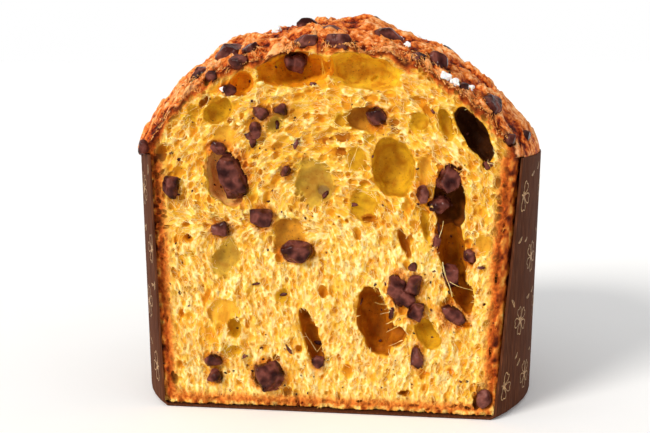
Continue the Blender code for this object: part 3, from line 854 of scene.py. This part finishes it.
def lining_marks(points):
    """Each point's lining colour and how much of it shows, from the hollow it lies in."""
    marks = np.zeros((len(points), 4), np.float32)
    sunk = points[:, 1] - cut_y(points[:, 2]) - face_relief(points[:, 0], points[:, 2])
    for x, z, length, width, tilt, depth, lining in HOLLOWS:
        colour, share = LININGS[lining]
        dy = points[:, 1] - cut_y(z) - 0.1 * depth
        along, across = tilted(points[:, 0] - x, points[:, 2] - z, math.radians(tilt))
        deep = depth > DEEP
        reach = np.sqrt((along / length * 2) ** 2 + (dy / depth * deep) ** 2 + (across / width * 2) ** 2)
        edge = 1.02 + (2.2 if deep else 0.6) / width
        weight = share * fade(reach, edge + 0.1, edge - 0.8 if lining == "grey" else edge)
        weight = weight * (fade(sunk, 1.5, 2.8) if deep else fade(sunk, 0.3, 0.4 * depth))
        better = weight > marks[:, 3]
        marks[better, :3] = linear(colour)[:3]
        marks[better, 3] = weight[better]
    return marks


def cocoa_marks(points):
    """How near each point is to a chunk of chocolate, for the smears round it and the painted warm shade
    there.
    """
    marks = np.zeros(len(points), np.float32)
    for _, middle, half in chunk_boxes():
        near = np.all(np.abs(points - middle) < half + 4, axis=1)
        gap = np.linalg.norm((points[near] - middle) / half, axis=1) - 1
        gap = gap * half.mean()
        marks[near] = np.maximum(marks[near], fade(gap, 2.8, 0.2))
    return marks


def chunk_collars(x, y):
    """Crust that rose a little round each chunk on the dome."""
    rise = 0.0
    for _, middle, half in chunk_boxes("dome"):
        gap = np.hypot((x - middle[0]) / half[0], (y - middle[1]) / half[1]) - 1
        rise = np.maximum(rise, np.exp(-(gap * half[:2].mean() / 1.5) ** 2))
    return rise


def crust_height(x, y):
    return dome_height(x, y) + fine_crags(x, y) + chunk_collars(x, y)


def bake_depth(points):
    """How far each point lies inside the outside of the whole loaf, for its browning."""
    x, y, z = points.T
    slope_x = (dome_height(x + 1, y) - dome_height(x - 1, y)) / 2
    slope_y = (dome_height(x, y + 1) - dome_height(x, y - 1)) / 2
    top = (crust_height(x, y) - z) / np.sqrt(1 + slope_x ** 2 + slope_y ** 2)
    wall = np.where(z > RIM_HEIGHT, DOME_RADIUS - DOME_INSET - np.hypot(x - DOME_CENTRE_X, y),
                    wall_radius(z) - WALL_INSET - np.hypot(x, y))
    return np.minimum(np.minimum(top, wall), z - LOAF_FLOOR)


def front_field(axes, height, lean):
    """The field of the crumb near the cut: positive inside what is left of it."""
    draw = np.random.default_rng(7)
    depth = outer_depth(axes, height, lean)
    field = depth.copy()
    carve_hollows(field, axes)
    room = np.minimum(field, depth - 1.4)
    for x, z, length, width, tilt, deep in crust_slots(draw):
        carve(field, axes, (x, cut_y(z) + 0.5, z), (length / 2, deep, width / 2), tilt, 0.3, 5)
    blow_bubbles(field, room, axes, draw)
    for seed, sheet in enumerate(CELL_SHEETS):
        np.minimum(field, cell_sheet(axes, *sheet, 80 + seed), out=field)
    chunk_hollows(field, axes)
    surface = cut_y(axes[2])[None, :] + face_relief(axes[0][:, None], axes[2][None, :])
    behind = axes[1][None, :, None] - surface[:, None, :]
    open_by, bowl = lace_sheet(axes)
    lace = np.maximum(-0.7 * open_by[:, None, :], behind - bowl[:, None, :]).astype(np.float32)
    return np.minimum(np.minimum(field, lace), behind)


def crumb_marks(points, bake):
    """What the bread's material reads at each point of the crumb and the crust beside it."""
    x, y, z = points.T
    behind = y - cut_y(z) - face_relief(x, z)
    beside = fade(z, RIM_HEIGHT + 3, RIM_HEIGHT - 3) * fade(behind, 13.0, 6.0) * fade(bake, 2.4, 1.6)
    rough = value_noise(x, y, z, 2.2, 52)
    return {
        "bake": np.clip(bake * (1 + 0.7 * fade(z, 104, 114)) * (1 - beside) + beside * (2.6 + 2.4 * rough)
                        + 1.5 * fade(z, 6, 2), 0, 20),
        "sunk": np.clip(behind * (1 - beside) + beside * (0.5 - 1.6 * rough), 0, 20),
        "outside": fade(bake, 1.1, 0.5) * fade(behind, 0.6, 1.6) * (1 - beside),
        "cocoa": cocoa_marks(points),
        "lining": lining_marks(points),
        "fibre": 0.5 + 0.5 * np.clip(streaks(x, z, 0.55, 27), -1, 1),
        # Relief of the crust, which darkens its cracks and lows with painted shade
        "crag": np.clip(0.95 + 0.36 * fine_crags(x, y), 0, 1),
        "torn": np.maximum(fade(y - cut_y(z) + 2.0 * value_noise(x, y, z, 6.0, 51), 6.0, 1.0),
                           np.exp(-((x + 21) ** 2 + (y + 39) ** 2) / 60)),
    }


def build_crumb(look):
    axes = loaf_axes()
    x2, y2 = axes[0][:, None], axes[1][None, :]
    height = crust_height(x2, y2)
    slope_x, slope_y = np.gradient(dome_height(x2, y2), axes[0], axes[1])
    lean = 1.0 / np.sqrt(1.0 + slope_x ** 2 + slope_y ** 2)
    points, faces = skin(front_field(axes, height, lean), axes)
    points, faces = keep_large_bodies(points, faces, least=2000)
    bake = bake_depth(points)
    normals = vertex_normals(points, faces)
    marks = crumb_marks(points, bake)
    centre = points[faces].mean(axis=1)
    behind_seam = centre[:, 1] > cut_y(centre[:, 2]) + SEAM_BEHIND_CUT + 0.6
    outer = bake[faces].min(axis=1) < 1.5
    region = np.digitize(centre[:, 0], CRUMB_BORDERS)
    region[behind_seam & outer] = -1
    for number in range(len(CRUMB_BORDERS) + 1):
        part_points, part_faces, used = pick_faces(points, faces, region == number)
        part_marks = {key: values[used] for key, values in marks.items()}
        middle_one = number == len(CRUMB_BORDERS) // 2
        replaced = ["loaf"] if middle_one else []
        make_piece(f"crumb_{number + 1}", part_points, part_faces, look, "bread", replaced,
                   normals[used], part_marks)
    return CrumbFront(points)


def build_crust(look):
    """The browned crust of the rest of the loaf, with its sides and bottom inside the mould."""
    columns = 480
    rings = 130
    turn = np.linspace(0, 2 * math.pi, columns, endpoint=False)
    reach = DOME_RADIUS * np.sin(np.linspace(0.004, math.pi / 2, rings))
    profile = [(radius, None) for radius in reach]
    profile += [(wall_radius(z) - WALL_INSET, z) for z in (103.0, 70.0, 35.0, 3.0)]
    profile += [(radius, LOAF_FLOOR) for radius in (BASE_RADIUS - 4.0, 60.0, 40.0, 20.0, 1.0)]
    points = []
    for radius, z in profile:
        middle = DOME_CENTRE_X if z is None else 0.0
        x, y = middle + radius * np.cos(turn), radius * np.sin(turn)
        points.append(np.stack([x, y, crust_height(x, y) if z is None else np.full(columns, z)], 1))
    points = np.concatenate(points)
    k = np.arange(columns)
    after = (k + 1) % columns
    faces = [np.stack([row * columns + k, (row + 1) * columns + k, (row + 1) * columns + after,
                       row * columns + after], 1) for row in range(len(profile) - 1)]
    faces = np.concatenate(faces)
    normals = vertex_normals(points, faces)
    corner = points[faces]
    behind_seam = (corner[..., 1] > cut_y(corner[..., 2]) + SEAM_BEHIND_CUT - 0.7).all(axis=1)
    points, faces, used = pick_faces(points, faces, behind_seam)
    marks = crumb_marks(points, np.zeros(len(points)))
    marks["outside"] = np.ones(len(points))
    make_piece("dome_crust", points, faces, look, "bread", [], normals[used], marks)


# Chocolate and sugar

BROKEN_SIDES = 13
EDGE_SHARPNESS = 11.0


def broken_lump(corners, step, seed):
    """The skin of a lump with flat broken sides that just holds a set of corners, its edges melted."""
    draw = np.random.default_rng(500 + seed)
    k = np.arange(BROKEN_SIDES) + 0.5
    up = 1 - 2 * k / BROKEN_SIDES
    turn = k * math.pi * (1 + math.sqrt(5))
    flat = np.sqrt(1 - up ** 2)
    sides = np.stack([flat * np.cos(turn), flat * np.sin(turn), up], 1)
    sides += draw.normal(0, 0.22, (BROKEN_SIDES, 3))
    sides /= np.linalg.norm(sides, axis=1)[:, None]
    spin = np.linalg.qr(draw.normal(size=(3, 3)))[0]
    sides = sides @ spin
    middle = corners.mean(axis=0)
    reach = ((corners - middle) @ sides.T).max(axis=0) * draw.uniform(0.8, 1.0, BROKEN_SIDES)
    low, high = corners.min(axis=0) - 1.2, corners.max(axis=0) + 1.2
    axes = [axis_steps((a, b, step)) for a, b in zip(low, high)]
    x, y, z = box_places(axes)
    total = 0
    for (nx, ny, nz), offset in zip(sides, reach + sides @ middle):
        total = total + np.exp(np.minimum(EDGE_SHARPNESS * (nx * x + ny * y + nz * z - offset), 60))
    outside = np.log(total) / EDGE_SHARPNESS - 0.1
    outside = outside + 0.4 * value_noise(x + seed * 7.3, y, z, 3.4, 70)
    outside = outside + 0.25 * np.abs(value_noise(x, y + seed * 5.1, z, 1.9, 71)) - 0.08
    outside[[0, -1]] = outside[:, [0, -1]] = outside[:, :, [0, -1]] = 1.0
    return skin(-outside, axes)


def build_chunks(glossy, dull):
    names = sorted(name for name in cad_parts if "chunk" in name)
    for k, name in enumerate(names):
        corners = np.array([vert.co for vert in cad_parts[name].data.vertices]) / MM
        points, faces = broken_lump(corners, 0.5, k)
        look = dull if name in DULL_CHUNKS else glossy
        make_piece(name + "_broken", points, faces, look, "chocolate", [name])


def cube_ball(squares):
    """Points and faces of a unit ball blown up from a cube with so many squares along a side."""
    numbers = {}
    faces = []
    for axis in range(3):
        for side in (0, squares):
            for a in range(squares):
                for b in range(squares):
                    ring = []
                    for step_a, step_b in ((0, 0), (1, 0), (1, 1), (0, 1)):
                        place = [side] * 3
                        place[(axis + 1) % 3] = a + step_a
                        place[(axis + 2) % 3] = b + step_b
                        ring.append(numbers.setdefault(tuple(place), len(numbers)))
                    faces.append(ring if side else ring[::-1])
    points = np.array(list(numbers)) * 2.0 / squares - 1
    return points / np.linalg.norm(points, axis=1)[:, None], np.array(faces)


def lump(half_sizes, squareness, lumps, seed, squares):
    """A small squared and dented ball round its own middle."""
    unit, faces = cube_ball(squares)
    power = (np.abs(unit) ** squareness).sum(axis=1) ** (-1 / squareness)
    dent = 1 + lumps * value_noise(*(unit * 1.3 + seed * 3.7).T, 1.0, 72)
    return unit * (power * dent)[:, None] * half_sizes, faces


def face_axes(tilt):
    """Directions along a tilt on the cut face, into the loaf and across."""
    turn = math.radians(tilt)
    return np.array([(math.cos(turn), 0, math.sin(turn)), (0, 1, 0), (-math.sin(turn), 0, math.cos(turn))])


def crust_axes(x, y, tilt):
    """Directions along a tilt on the crust, across and straight out of it."""
    step = 2.0
    slope_x = (dome_height(x + step, y) - dome_height(x - step, y)) / (2 * step)
    slope_y = (dome_height(x, y + step) - dome_height(x, y - step)) / (2 * step)
    out = np.array([-float(slope_x), -float(slope_y), 1.0])
    out /= np.linalg.norm(out)
    along = np.array([math.cos(math.radians(tilt)), math.sin(math.radians(tilt)), 0.0])
    along -= out * along.dot(out)
    along /= np.linalg.norm(along)
    return np.array([along, np.cross(out, along), out])


class CrumbFront:
    """How far forward the crumb reaches at any place on the cut face."""

    CELL = 0.7

    def __init__(self, points):
        self.cells = np.full((int(190 / self.CELL), int(175 / self.CELL)), 99.0)
        np.minimum.at(self.cells, self.spot(points[:, 0], points[:, 2]), points[:, 1])

    def spot(self, x, z):
        return ((x + 95) / self.CELL).astype(int), ((z + 2) / self.CELL).astype(int)

    def y(self, x, z):
        x, z = np.asarray(x, dtype=float), np.asarray(z, dtype=float)
        found = self.cells[self.spot(x, z)]
        return np.where(found < 90, found, cut_y(z) + 3.0)


def build_flakes(look, front):
    """Chips, flakes and crumbs of chocolate over the cut face, and one wedged at the rim."""
    draw = np.random.default_rng(12)
    flakes = Joined()
    spots = list(FLAKES)
    middles = {name: middle for name, middle, _ in chunk_boxes("face")}
    sources = [(middles[name][0], middles[name][2]) for name in sorted(middles)]
    for k in range(SPECKS):
        by_chunk = k < SPECKS_BY_CHUNKS
        x, z = sources[k % len(sources)] if by_chunk else (draw.uniform(-70, 70), draw.uniform(6, 120))
        away = draw.normal(0, 6.5, 2) if by_chunk else (0, 0)
        size = 0.35 + 0.7 * draw.uniform() ** 3
        spots.append((x + away[0], z + away[1], size * draw.uniform(1, 1.9), size, draw.uniform(0, 180)))
    for k, (x, z, length, width, tilt) in enumerate(spots):
        if not 4 < z < 150 or abs(x) > 76:
            continue
        thick = min(max(0.55 * min(length, width), 0.3), 1.8)
        squares = 4 if length > 2.4 else 2
        points, faces = lump((length / 2, thick, width / 2), 3.0, 0.45, k, squares)
        place = np.array([x, front.y(x, z) + 0.35 * thick, z])
        flakes.add(points @ face_axes(tilt) + place, faces)
    points, faces = lump((2.1, 2.0, 3.0), 2.6, 0.4, 5, 5)
    flakes.add(points + RIM_CHIP, faces)
    make_piece("chocolate_flakes", *flakes.mesh(), look, "chocolate")


def build_sugar(look):
    spots = list(FRONT_SUGAR)
    for k in range(SPIRAL_SUGAR):
        turn = 0.9 + k * SUGAR_TURN
        reach = math.sqrt((k + 0.5) / SPIRAL_SUGAR)
        spots.append((70 * reach * math.cos(turn), 52.5 * reach * math.sin(turn) + 18,
                      SUGAR_SIZE * (1 + 0.25 * math.sin(3.3 * k))))
    grains = Joined()
    for k, (x, y, size) in enumerate(spots):
        axes = crust_axes(x, y, 40.0 * k)
        middle = np.array([x, y, float(dome_height(x, y))]) + axes[2] * 0.1 * size
        points, faces = lump((0.5 * size, 0.42 * size, 0.4 * size), 2.6, 0.5, 90 + k, 6)
        grains.add(points @ axes + middle, faces)
        for crumb in range(3):
            swing = 2.1 * crumb + k
            spot = middle + axes[0] * size * 0.55 * math.cos(swing) + axes[1] * size * 0.5 * math.sin(swing)
            points, faces = lump((0.2 * size, 0.16 * size, 0.15 * size), 3.0, 0.5, 30 + 3 * k + crumb, 3)
            grains.add(points @ axes + spot, faces)
    points, faces = lump((1.3, 0.9, 1.1), 2.6, 0.5, 77, 5)
    x, z = FALLEN_SUGAR
    grains.add(points + (x, cut_y(z) + 1.2, z), faces)
    make_piece("pearl_sugar_grains", *grains.mesh(), look, "bread")


# Strands, torn ends and shreds

def tubes(paths, radii, sides):
    """Points and faces of thin open tubes along many paths at once."""
    along = np.gradient(paths, axis=1)
    along /= np.linalg.norm(along, axis=2)[..., None]
    side = np.cross(along, (0.02, 1.0, 0.03))
    side /= np.linalg.norm(side, axis=2)[..., None]
    other = np.cross(along, side)
    swing = np.arange(sides) * 2 * math.pi / sides
    ring = np.cos(swing)[:, None] * side[:, :, None] + np.sin(swing)[:, None] * other[:, :, None]
    points = paths[:, :, None] + radii[:, :, None, None] * ring
    number = np.arange(points[..., 0].size).reshape(points.shape[:3])
    low, high = number[:, :-1], number[:, 1:]
    faces = np.stack([low, np.roll(low, -1, axis=2), np.roll(high, -1, axis=2), high], -1)
    return points.reshape(-1, 3), faces.reshape(-1, 4)


def strand_paths(front, draw, count):
    """Short strands of gluten pulled straight from ridge to ridge over the torn face."""
    x, z = draw.uniform(-84, 84, count), draw.uniform(2, 160, count)
    inside = bake_depth(np.stack([x, cut_y(z) + 1.0, z], 1)) > 0.8
    x, z = x[inside], z[inside]
    turn = np.radians(grain_tilt(x, z) + draw.normal(0, 36, len(x)))[:, None]
    length = draw.uniform(1.2, 4.8, len(x))[:, None]
    t = np.linspace(-0.5, 0.5, 4)
    bend = draw.normal(0, 0.4, len(x))[:, None] * (1 - 4 * t ** 2)
    px = x[:, None] + length * t * np.cos(turn) - bend * np.sin(turn)
    pz = z[:, None] + length * t * np.sin(turn) + bend * np.cos(turn)
    lies = front.y(px, pz)
    straight = lies[:, :1] + (lies[:, -1:] - lies[:, :1]) * (t + 0.5)
    py = np.minimum(straight, lies)
    taut = np.abs(lies[:, -1] - lies[:, 0]) < 1.8
    on_face = (lies - cut_y(pz) - face_relief(px, pz)).max(axis=1) < 2.0
    paths = np.stack([px, py, pz], 2)[taut & on_face]
    thick = draw.uniform(0.06, 0.16, len(paths))[:, None]
    return paths, thick * (1.25 - 0.5 * np.cos(math.pi * t))


def fringe_paths(front, draw):
    """Torn ends of crumb that point into the hollows from their rims, in clumps."""
    starts, ends, thick = [], [], []
    for x, z, length, width, tilt, _, lining in HOLLOWS:
        ragged = lining in ("brown", "toffee", "umber")
        for _ in range(int((length + width) * (1.2 if ragged else 0.6))):
            swing, turn = draw.uniform(0, 2 * math.pi), math.radians(tilt)
            along, across = 0.53 * length * math.cos(swing), 0.53 * width * math.sin(swing)
            rim = np.array([x + along * math.cos(turn) - across * math.sin(turn),
                            z + along * math.sin(turn) + across * math.cos(turn)])
            inward = np.array([x, z]) - rim
            inward = inward / np.linalg.norm(inward) + draw.normal(0, 0.8, 2)
            reach = draw.uniform(0.4, 1.5 if ragged else 0.8)
            start_y = float(front.y(rim[0], rim[1]))
            if start_y > cut_y(rim[1]) + 4 or value_noise(rim[0], 0.5, rim[1], 3.5, 91) < 0.1:
                continue
            tip = rim + inward * reach
            starts.append((rim[0], start_y + 0.15, rim[1]))
            ends.append((tip[0], start_y + draw.uniform(-0.2, 1.2) * reach, tip[1]))
            thick.append(draw.uniform(0.15, 0.35))
    starts, ends = np.array(starts)[:, None], np.array(ends)[:, None]
    t = np.linspace(0, 1, 4)[:, None]
    paths = starts + (ends - starts) * t
    paths[:, 1:3] += draw.normal(0, 0.12, (len(paths), 2, 3))
    return paths, np.array(thick)[:, None] * (1.08 - t[:, 0])


def shred_paths(draw):
    """Long shreds across the hollows: each a thicker one with a hair that runs off beside it."""
    paths, radii = [], []
    t = np.linspace(0, 1, 9)
    for x0, z0, x1, z1, back, thick, far in SHREDS:
        for hair in range(2):
            start = np.array([x0, cut_y(z0) + back, z0])
            end = np.array([x1, cut_y(z1) + back, z1])
            size = np.linalg.norm(end - start)
            share = 1.0 if hair == 0 else draw.uniform(0.4, 0.8)
            end = start + (end - start) * share + draw.normal(0, 0.1 if hair == 0 else 0.04 * size, 3)
            path = start + (end - start) * t[:, None]
            path += np.sin(math.pi * t)[:, None] * draw.normal(0, 0.025 * size, 3)
            path += np.sin(2 * math.pi * t)[:, None] * draw.normal(0, 0.02 * size, 3)
            paths.append(path)
            waist = 0.55 + 0.45 * (2 * t - 1) ** 2
            ends_at = far if hair == 0 else 0.1
            radii.append(thick * (0.42 if hair == 0 else 0.2) * (1 - t + t * ends_at) * waist + 0.03)
    return np.array(paths), np.array(radii)


def crust_shred_paths(draw, count):
    """Torn orange shreds that stand up from the crust beside the cut, in clumps."""
    x = draw.uniform(-84, 84, count)
    back = 9.0 * draw.uniform(0, 1, count) ** 1.6
    z = np.full(count, 140.0)
    for _ in range(3):
        y = cut_y(z) + back
        z = crust_height(x, y)
    chosen = (np.hypot(x - DOME_CENTRE_X, y) < 85) & (value_noise(x, y, z, 8.0, 92) > 0.0)
    x, y = x[chosen, None], y[chosen, None]
    t = np.linspace(0, 1, 4)
    turn = draw.uniform(0, 2 * math.pi, (len(x), 1))
    length = draw.uniform(0.6, 1.7, (len(x), 1))
    px = x + length * t * np.cos(turn)
    py = np.maximum(y + length * t * np.sin(turn), cut_y(z[chosen, None]) + 0.2)
    ground = crust_height(px, py)
    lift = draw.uniform(0.2, 1.0, (len(x), 1))
    pz = ground[:, :1] + (ground[:, -1:] - ground[:, :1]) * t + lift * t * (1.6 - t)
    thick = draw.uniform(0.12, 0.32, (len(x), 1))
    return np.stack([px, py, pz], 2), thick * (1.1 - t)


def build_strands(look, front):
    """The crumb's torn strands: over the face, from the rims of the hollows and across them."""
    draw = np.random.default_rng(21)
    strands = Joined()
    strands.add(*tubes(*strand_paths(front, draw, STRANDS), sides=3))
    strands.add(*tubes(*fringe_paths(front, draw), sides=3))
    strands.add(*tubes(*shred_paths(draw), sides=5))
    points, faces = strands.mesh()
    marks = crumb_marks(points, bake_depth(points))
    # Strands near the face take the ramp's painted highlight; those lying deep in a hollow take its painted
    # shade
    marks["sunk"] = np.where(marks["sunk"] > 2.5, 1.4, 0.15)
    marks["outside"] = np.zeros(len(points))
    marks["lining"] = marks["lining"] * np.array([1, 1, 1, 0.15])
    make_piece("crumb_strands", points, faces, look, "bread", [], None, marks)
    paths, radii = crust_shred_paths(draw, CRUST_SHREDS)
    points, faces = tubes(paths, radii, sides=3)
    marks = crumb_marks(points, np.zeros(len(points)))
    marks["outside"] = np.ones(len(points))
    marks["torn"] = np.ones(len(points))
    points_each = len(points) // len(paths)
    marks["crag"] = np.repeat(draw.uniform(0.1, 1.1, len(paths)), points_each)
    make_piece("crust_shreds", points, faces, look, "bread", [], None, marks)


# Blossoms on the paper

def spun(along, across, aim):
    """A loop's points in the paper's plane, turned to an aim in radians."""
    return np.stack([along * math.cos(aim) - across * math.sin(aim),
                     along * math.sin(aim) + across * math.cos(aim)], 1)


def blossom(size, turn):
    """Centre lines of a blossom with five petals and a short stroke between each two, all closed loops."""
    swing = np.linspace(0, 2 * math.pi, 22, endpoint=False)
    short_swing = np.linspace(0, 2 * math.pi, 8, endpoint=False)
    stroke_along = size * (0.07 + 0.06 * np.cos(short_swing))
    stroke_across = size * 0.012 * np.sin(short_swing)
    loops = []
    for petal in range(5):
        aim = turn + petal * 2 * math.pi / 5
        notch = 0.07 * np.exp(-(((swing + 1.5) % (2 * math.pi) - 1.5) / 0.3) ** 2)
        along = size * (0.28 + 0.2 * np.cos(swing) - notch)
        across = size * 0.115 * np.sin(swing) * (1.2 + 0.5 * np.cos(swing))
        loops += [spun(along, across, aim), spun(stroke_along, stroke_across, aim + 0.6)]
    return loops


def dash(length, turn):
    """A short curved stroke as a thin closed loop."""
    swing = np.linspace(0, 2 * math.pi, 12, endpoint=False)
    along = 0.5 * length * np.cos(swing)
    across = 0.1 * length * np.sin(swing) + 0.12 * length * np.cos(swing) ** 2
    return spun(along, across, turn)


def paper_front_y(x, z):
    """Where the mould's cut edge runs, a little sprung back on the right."""
    spring = PAPER_SPRING_BACK / RIM_HEIGHT * z if x > 20 else 0.0
    return cut_y(z) + spring


def build_blossoms(look):
    """Scattered outlines of blossoms, printed round the whole mould in matt gold."""
    draw = np.random.default_rng(33)
    ink = Joined()
    for column in range(BLOSSOM_COLUMNS):
        for row in range(BLOSSOM_ROWS):
            across = (column + 0.5 * (row % 2) + draw.uniform(-0.12, 0.12)) * 2 * math.pi / BLOSSOM_COLUMNS
            z = 14 + 25.5 * row + draw.uniform(-2.5, 2.5)
            turn = draw.uniform(0, 2 * math.pi)
            loops = [(0, 0, loop) for loop in blossom(draw.uniform(12.5, 15), turn)]
            for k in range(2):
                away = (draw.uniform(8, 11) * (1 - 2 * k), draw.uniform(7, 11))
                loops.append((*away, dash(draw.uniform(2.5, 4.5), draw.uniform(0, 3.1))))
            for side, lift, loop in loops:
                before = np.roll(loop, 1, axis=0)
                after = np.roll(loop, -1, axis=0)
                normal = (after - before)[:, ::-1] * (1, -1)
                normal /= np.linalg.norm(normal, axis=1)[:, None]
                edges = np.concatenate([loop + normal * INK_HALF_LINE, loop - normal * INK_HALF_LINE])
                height = z + lift + edges[:, 1]
                angle = across + (side + edges[:, 0]) / RIM_RADIUS
                radius = wall_radius(height) + INK_ABOVE_PAPER
                points = np.stack([radius * np.cos(angle), radius * np.sin(angle), height], 1)
                front = [paper_front_y(x, h) + 0.3 for x, h in zip(points[:, 0], height)]
                if height.min() < 1.8 or height.max() > RIM_HEIGHT - 0.5 or (points[:, 1] < front).any():
                    continue
                n = len(loop)
                k = np.arange(n)
                ink.add(points, np.stack([k, (k + 1) % n, n + (k + 1) % n, n + k], 1)[:, ::-1])
    make_piece("gold_blossoms", *ink.mesh(), look, "paper")


def main():
    bread = bread_material()
    front = build_crumb(bread)
    build_crust(bread)
    build_strands(bread, front)
    build_sugar(sugar_material())
    build_blossoms(gold_ink_material())
    glossy = chocolate_material("set_dark_chocolate", "#2A0704", "#86483C", 0.1, 0.7)
    dull = chocolate_material("bloomed_chocolate", "#40130C", "#8A5246", 0.26, 0.8)
    build_chunks(glossy, dull)
    build_flakes(glossy, front)
    paper = paper_material()
    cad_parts["paper_case"].data.materials.clear()
    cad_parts["paper_case"].data.materials.append(paper)


def add_camera():
    azimuth, elevation = math.radians(CAMERA_AZIMUTH), math.radians(CAMERA_ELEVATION)
    back = Vector((math.sin(azimuth) * math.cos(elevation), -math.cos(azimuth) * math.cos(elevation),
                   math.sin(elevation)))
    right = Vector((math.cos(azimuth), math.sin(azimuth), 0.0))
    aim = right * CAMERA_AIM_RIGHT + Vector((0, 0, CAMERA_AIM_UP))
    camera = bpy.data.objects.new("camera", bpy.data.cameras.new("camera"))
    camera.data.lens = CAMERA_LENS
    camera.data.sensor_width = 36.0
    camera.matrix_world = Matrix.Translation((aim + back * CAMERA_DISTANCE) * MM) @ Matrix(
        (right, back.cross(right), back)).transposed().to_4x4()
    bpy.context.scene.collection.objects.link(camera)
    bpy.context.scene.camera = camera


def add_stage():
    """A plain near-white floor in soft studio light from the upper left, with a white surround."""
    mesh = bpy.data.meshes.new("floor")
    corners = np.array([(-1, -1, 0), (1, -1, 0), (1, 1, 0), (-1, 1, 0)]) * FLOOR_HALF_METRES
    mesh.from_pydata(corners, [], [(0, 1, 2, 3)])
    floor = bpy.data.objects.new("floor", mesh)
    bpy.context.scene.collection.objects.link(floor)
    floor.location.z = -FLOOR_GAP * MM
    material, add, shader = new_material("studio_floor", Roughness=0.9, Emission_Color=(1, 1, 1, 1),
                                         Emission_Strength=0.06)
    cloud = add("TexNoise", {"Vector": add("TexCoord").outputs["Object"], "Scale": per_metre(40.0)})
    finish(add, shader, coated(add, linear("#FBFBFA"), (cloud, "#FFFFFF", "MIX")))
    mesh.materials.append(material)
    world = bpy.data.worlds.new("studio")
    world.use_nodes = True
    add = partial(add_node, world.node_tree)
    upward = add("SeparateXYZ", {"Vector": add("TexCoord").outputs["Generated"]}).outputs["Z"]
    sky = add("ValToRGB", {0: upward}, [(0.05, 1.0), (0.4, 0.6)])
    link(sky, world.node_tree.nodes["Background"].inputs["Color"])
    bpy.context.scene.world = world
    bpy.context.scene.view_settings.view_transform = "Standard"
    light = bpy.data.lights.new("key", "SUN")
    light.energy = SUN_STRENGTH
    light.angle = math.radians(SUN_ANGLE)
    light.color = linear("#FFFBF5")[:3]
    lamp = bpy.data.objects.new("key", light)
    lamp.rotation_euler = Vector(SUN_FROM).to_track_quat("Z", "Y").to_euler()
    bpy.context.scene.collection.objects.link(lamp)


main()
add_camera()
add_stage()
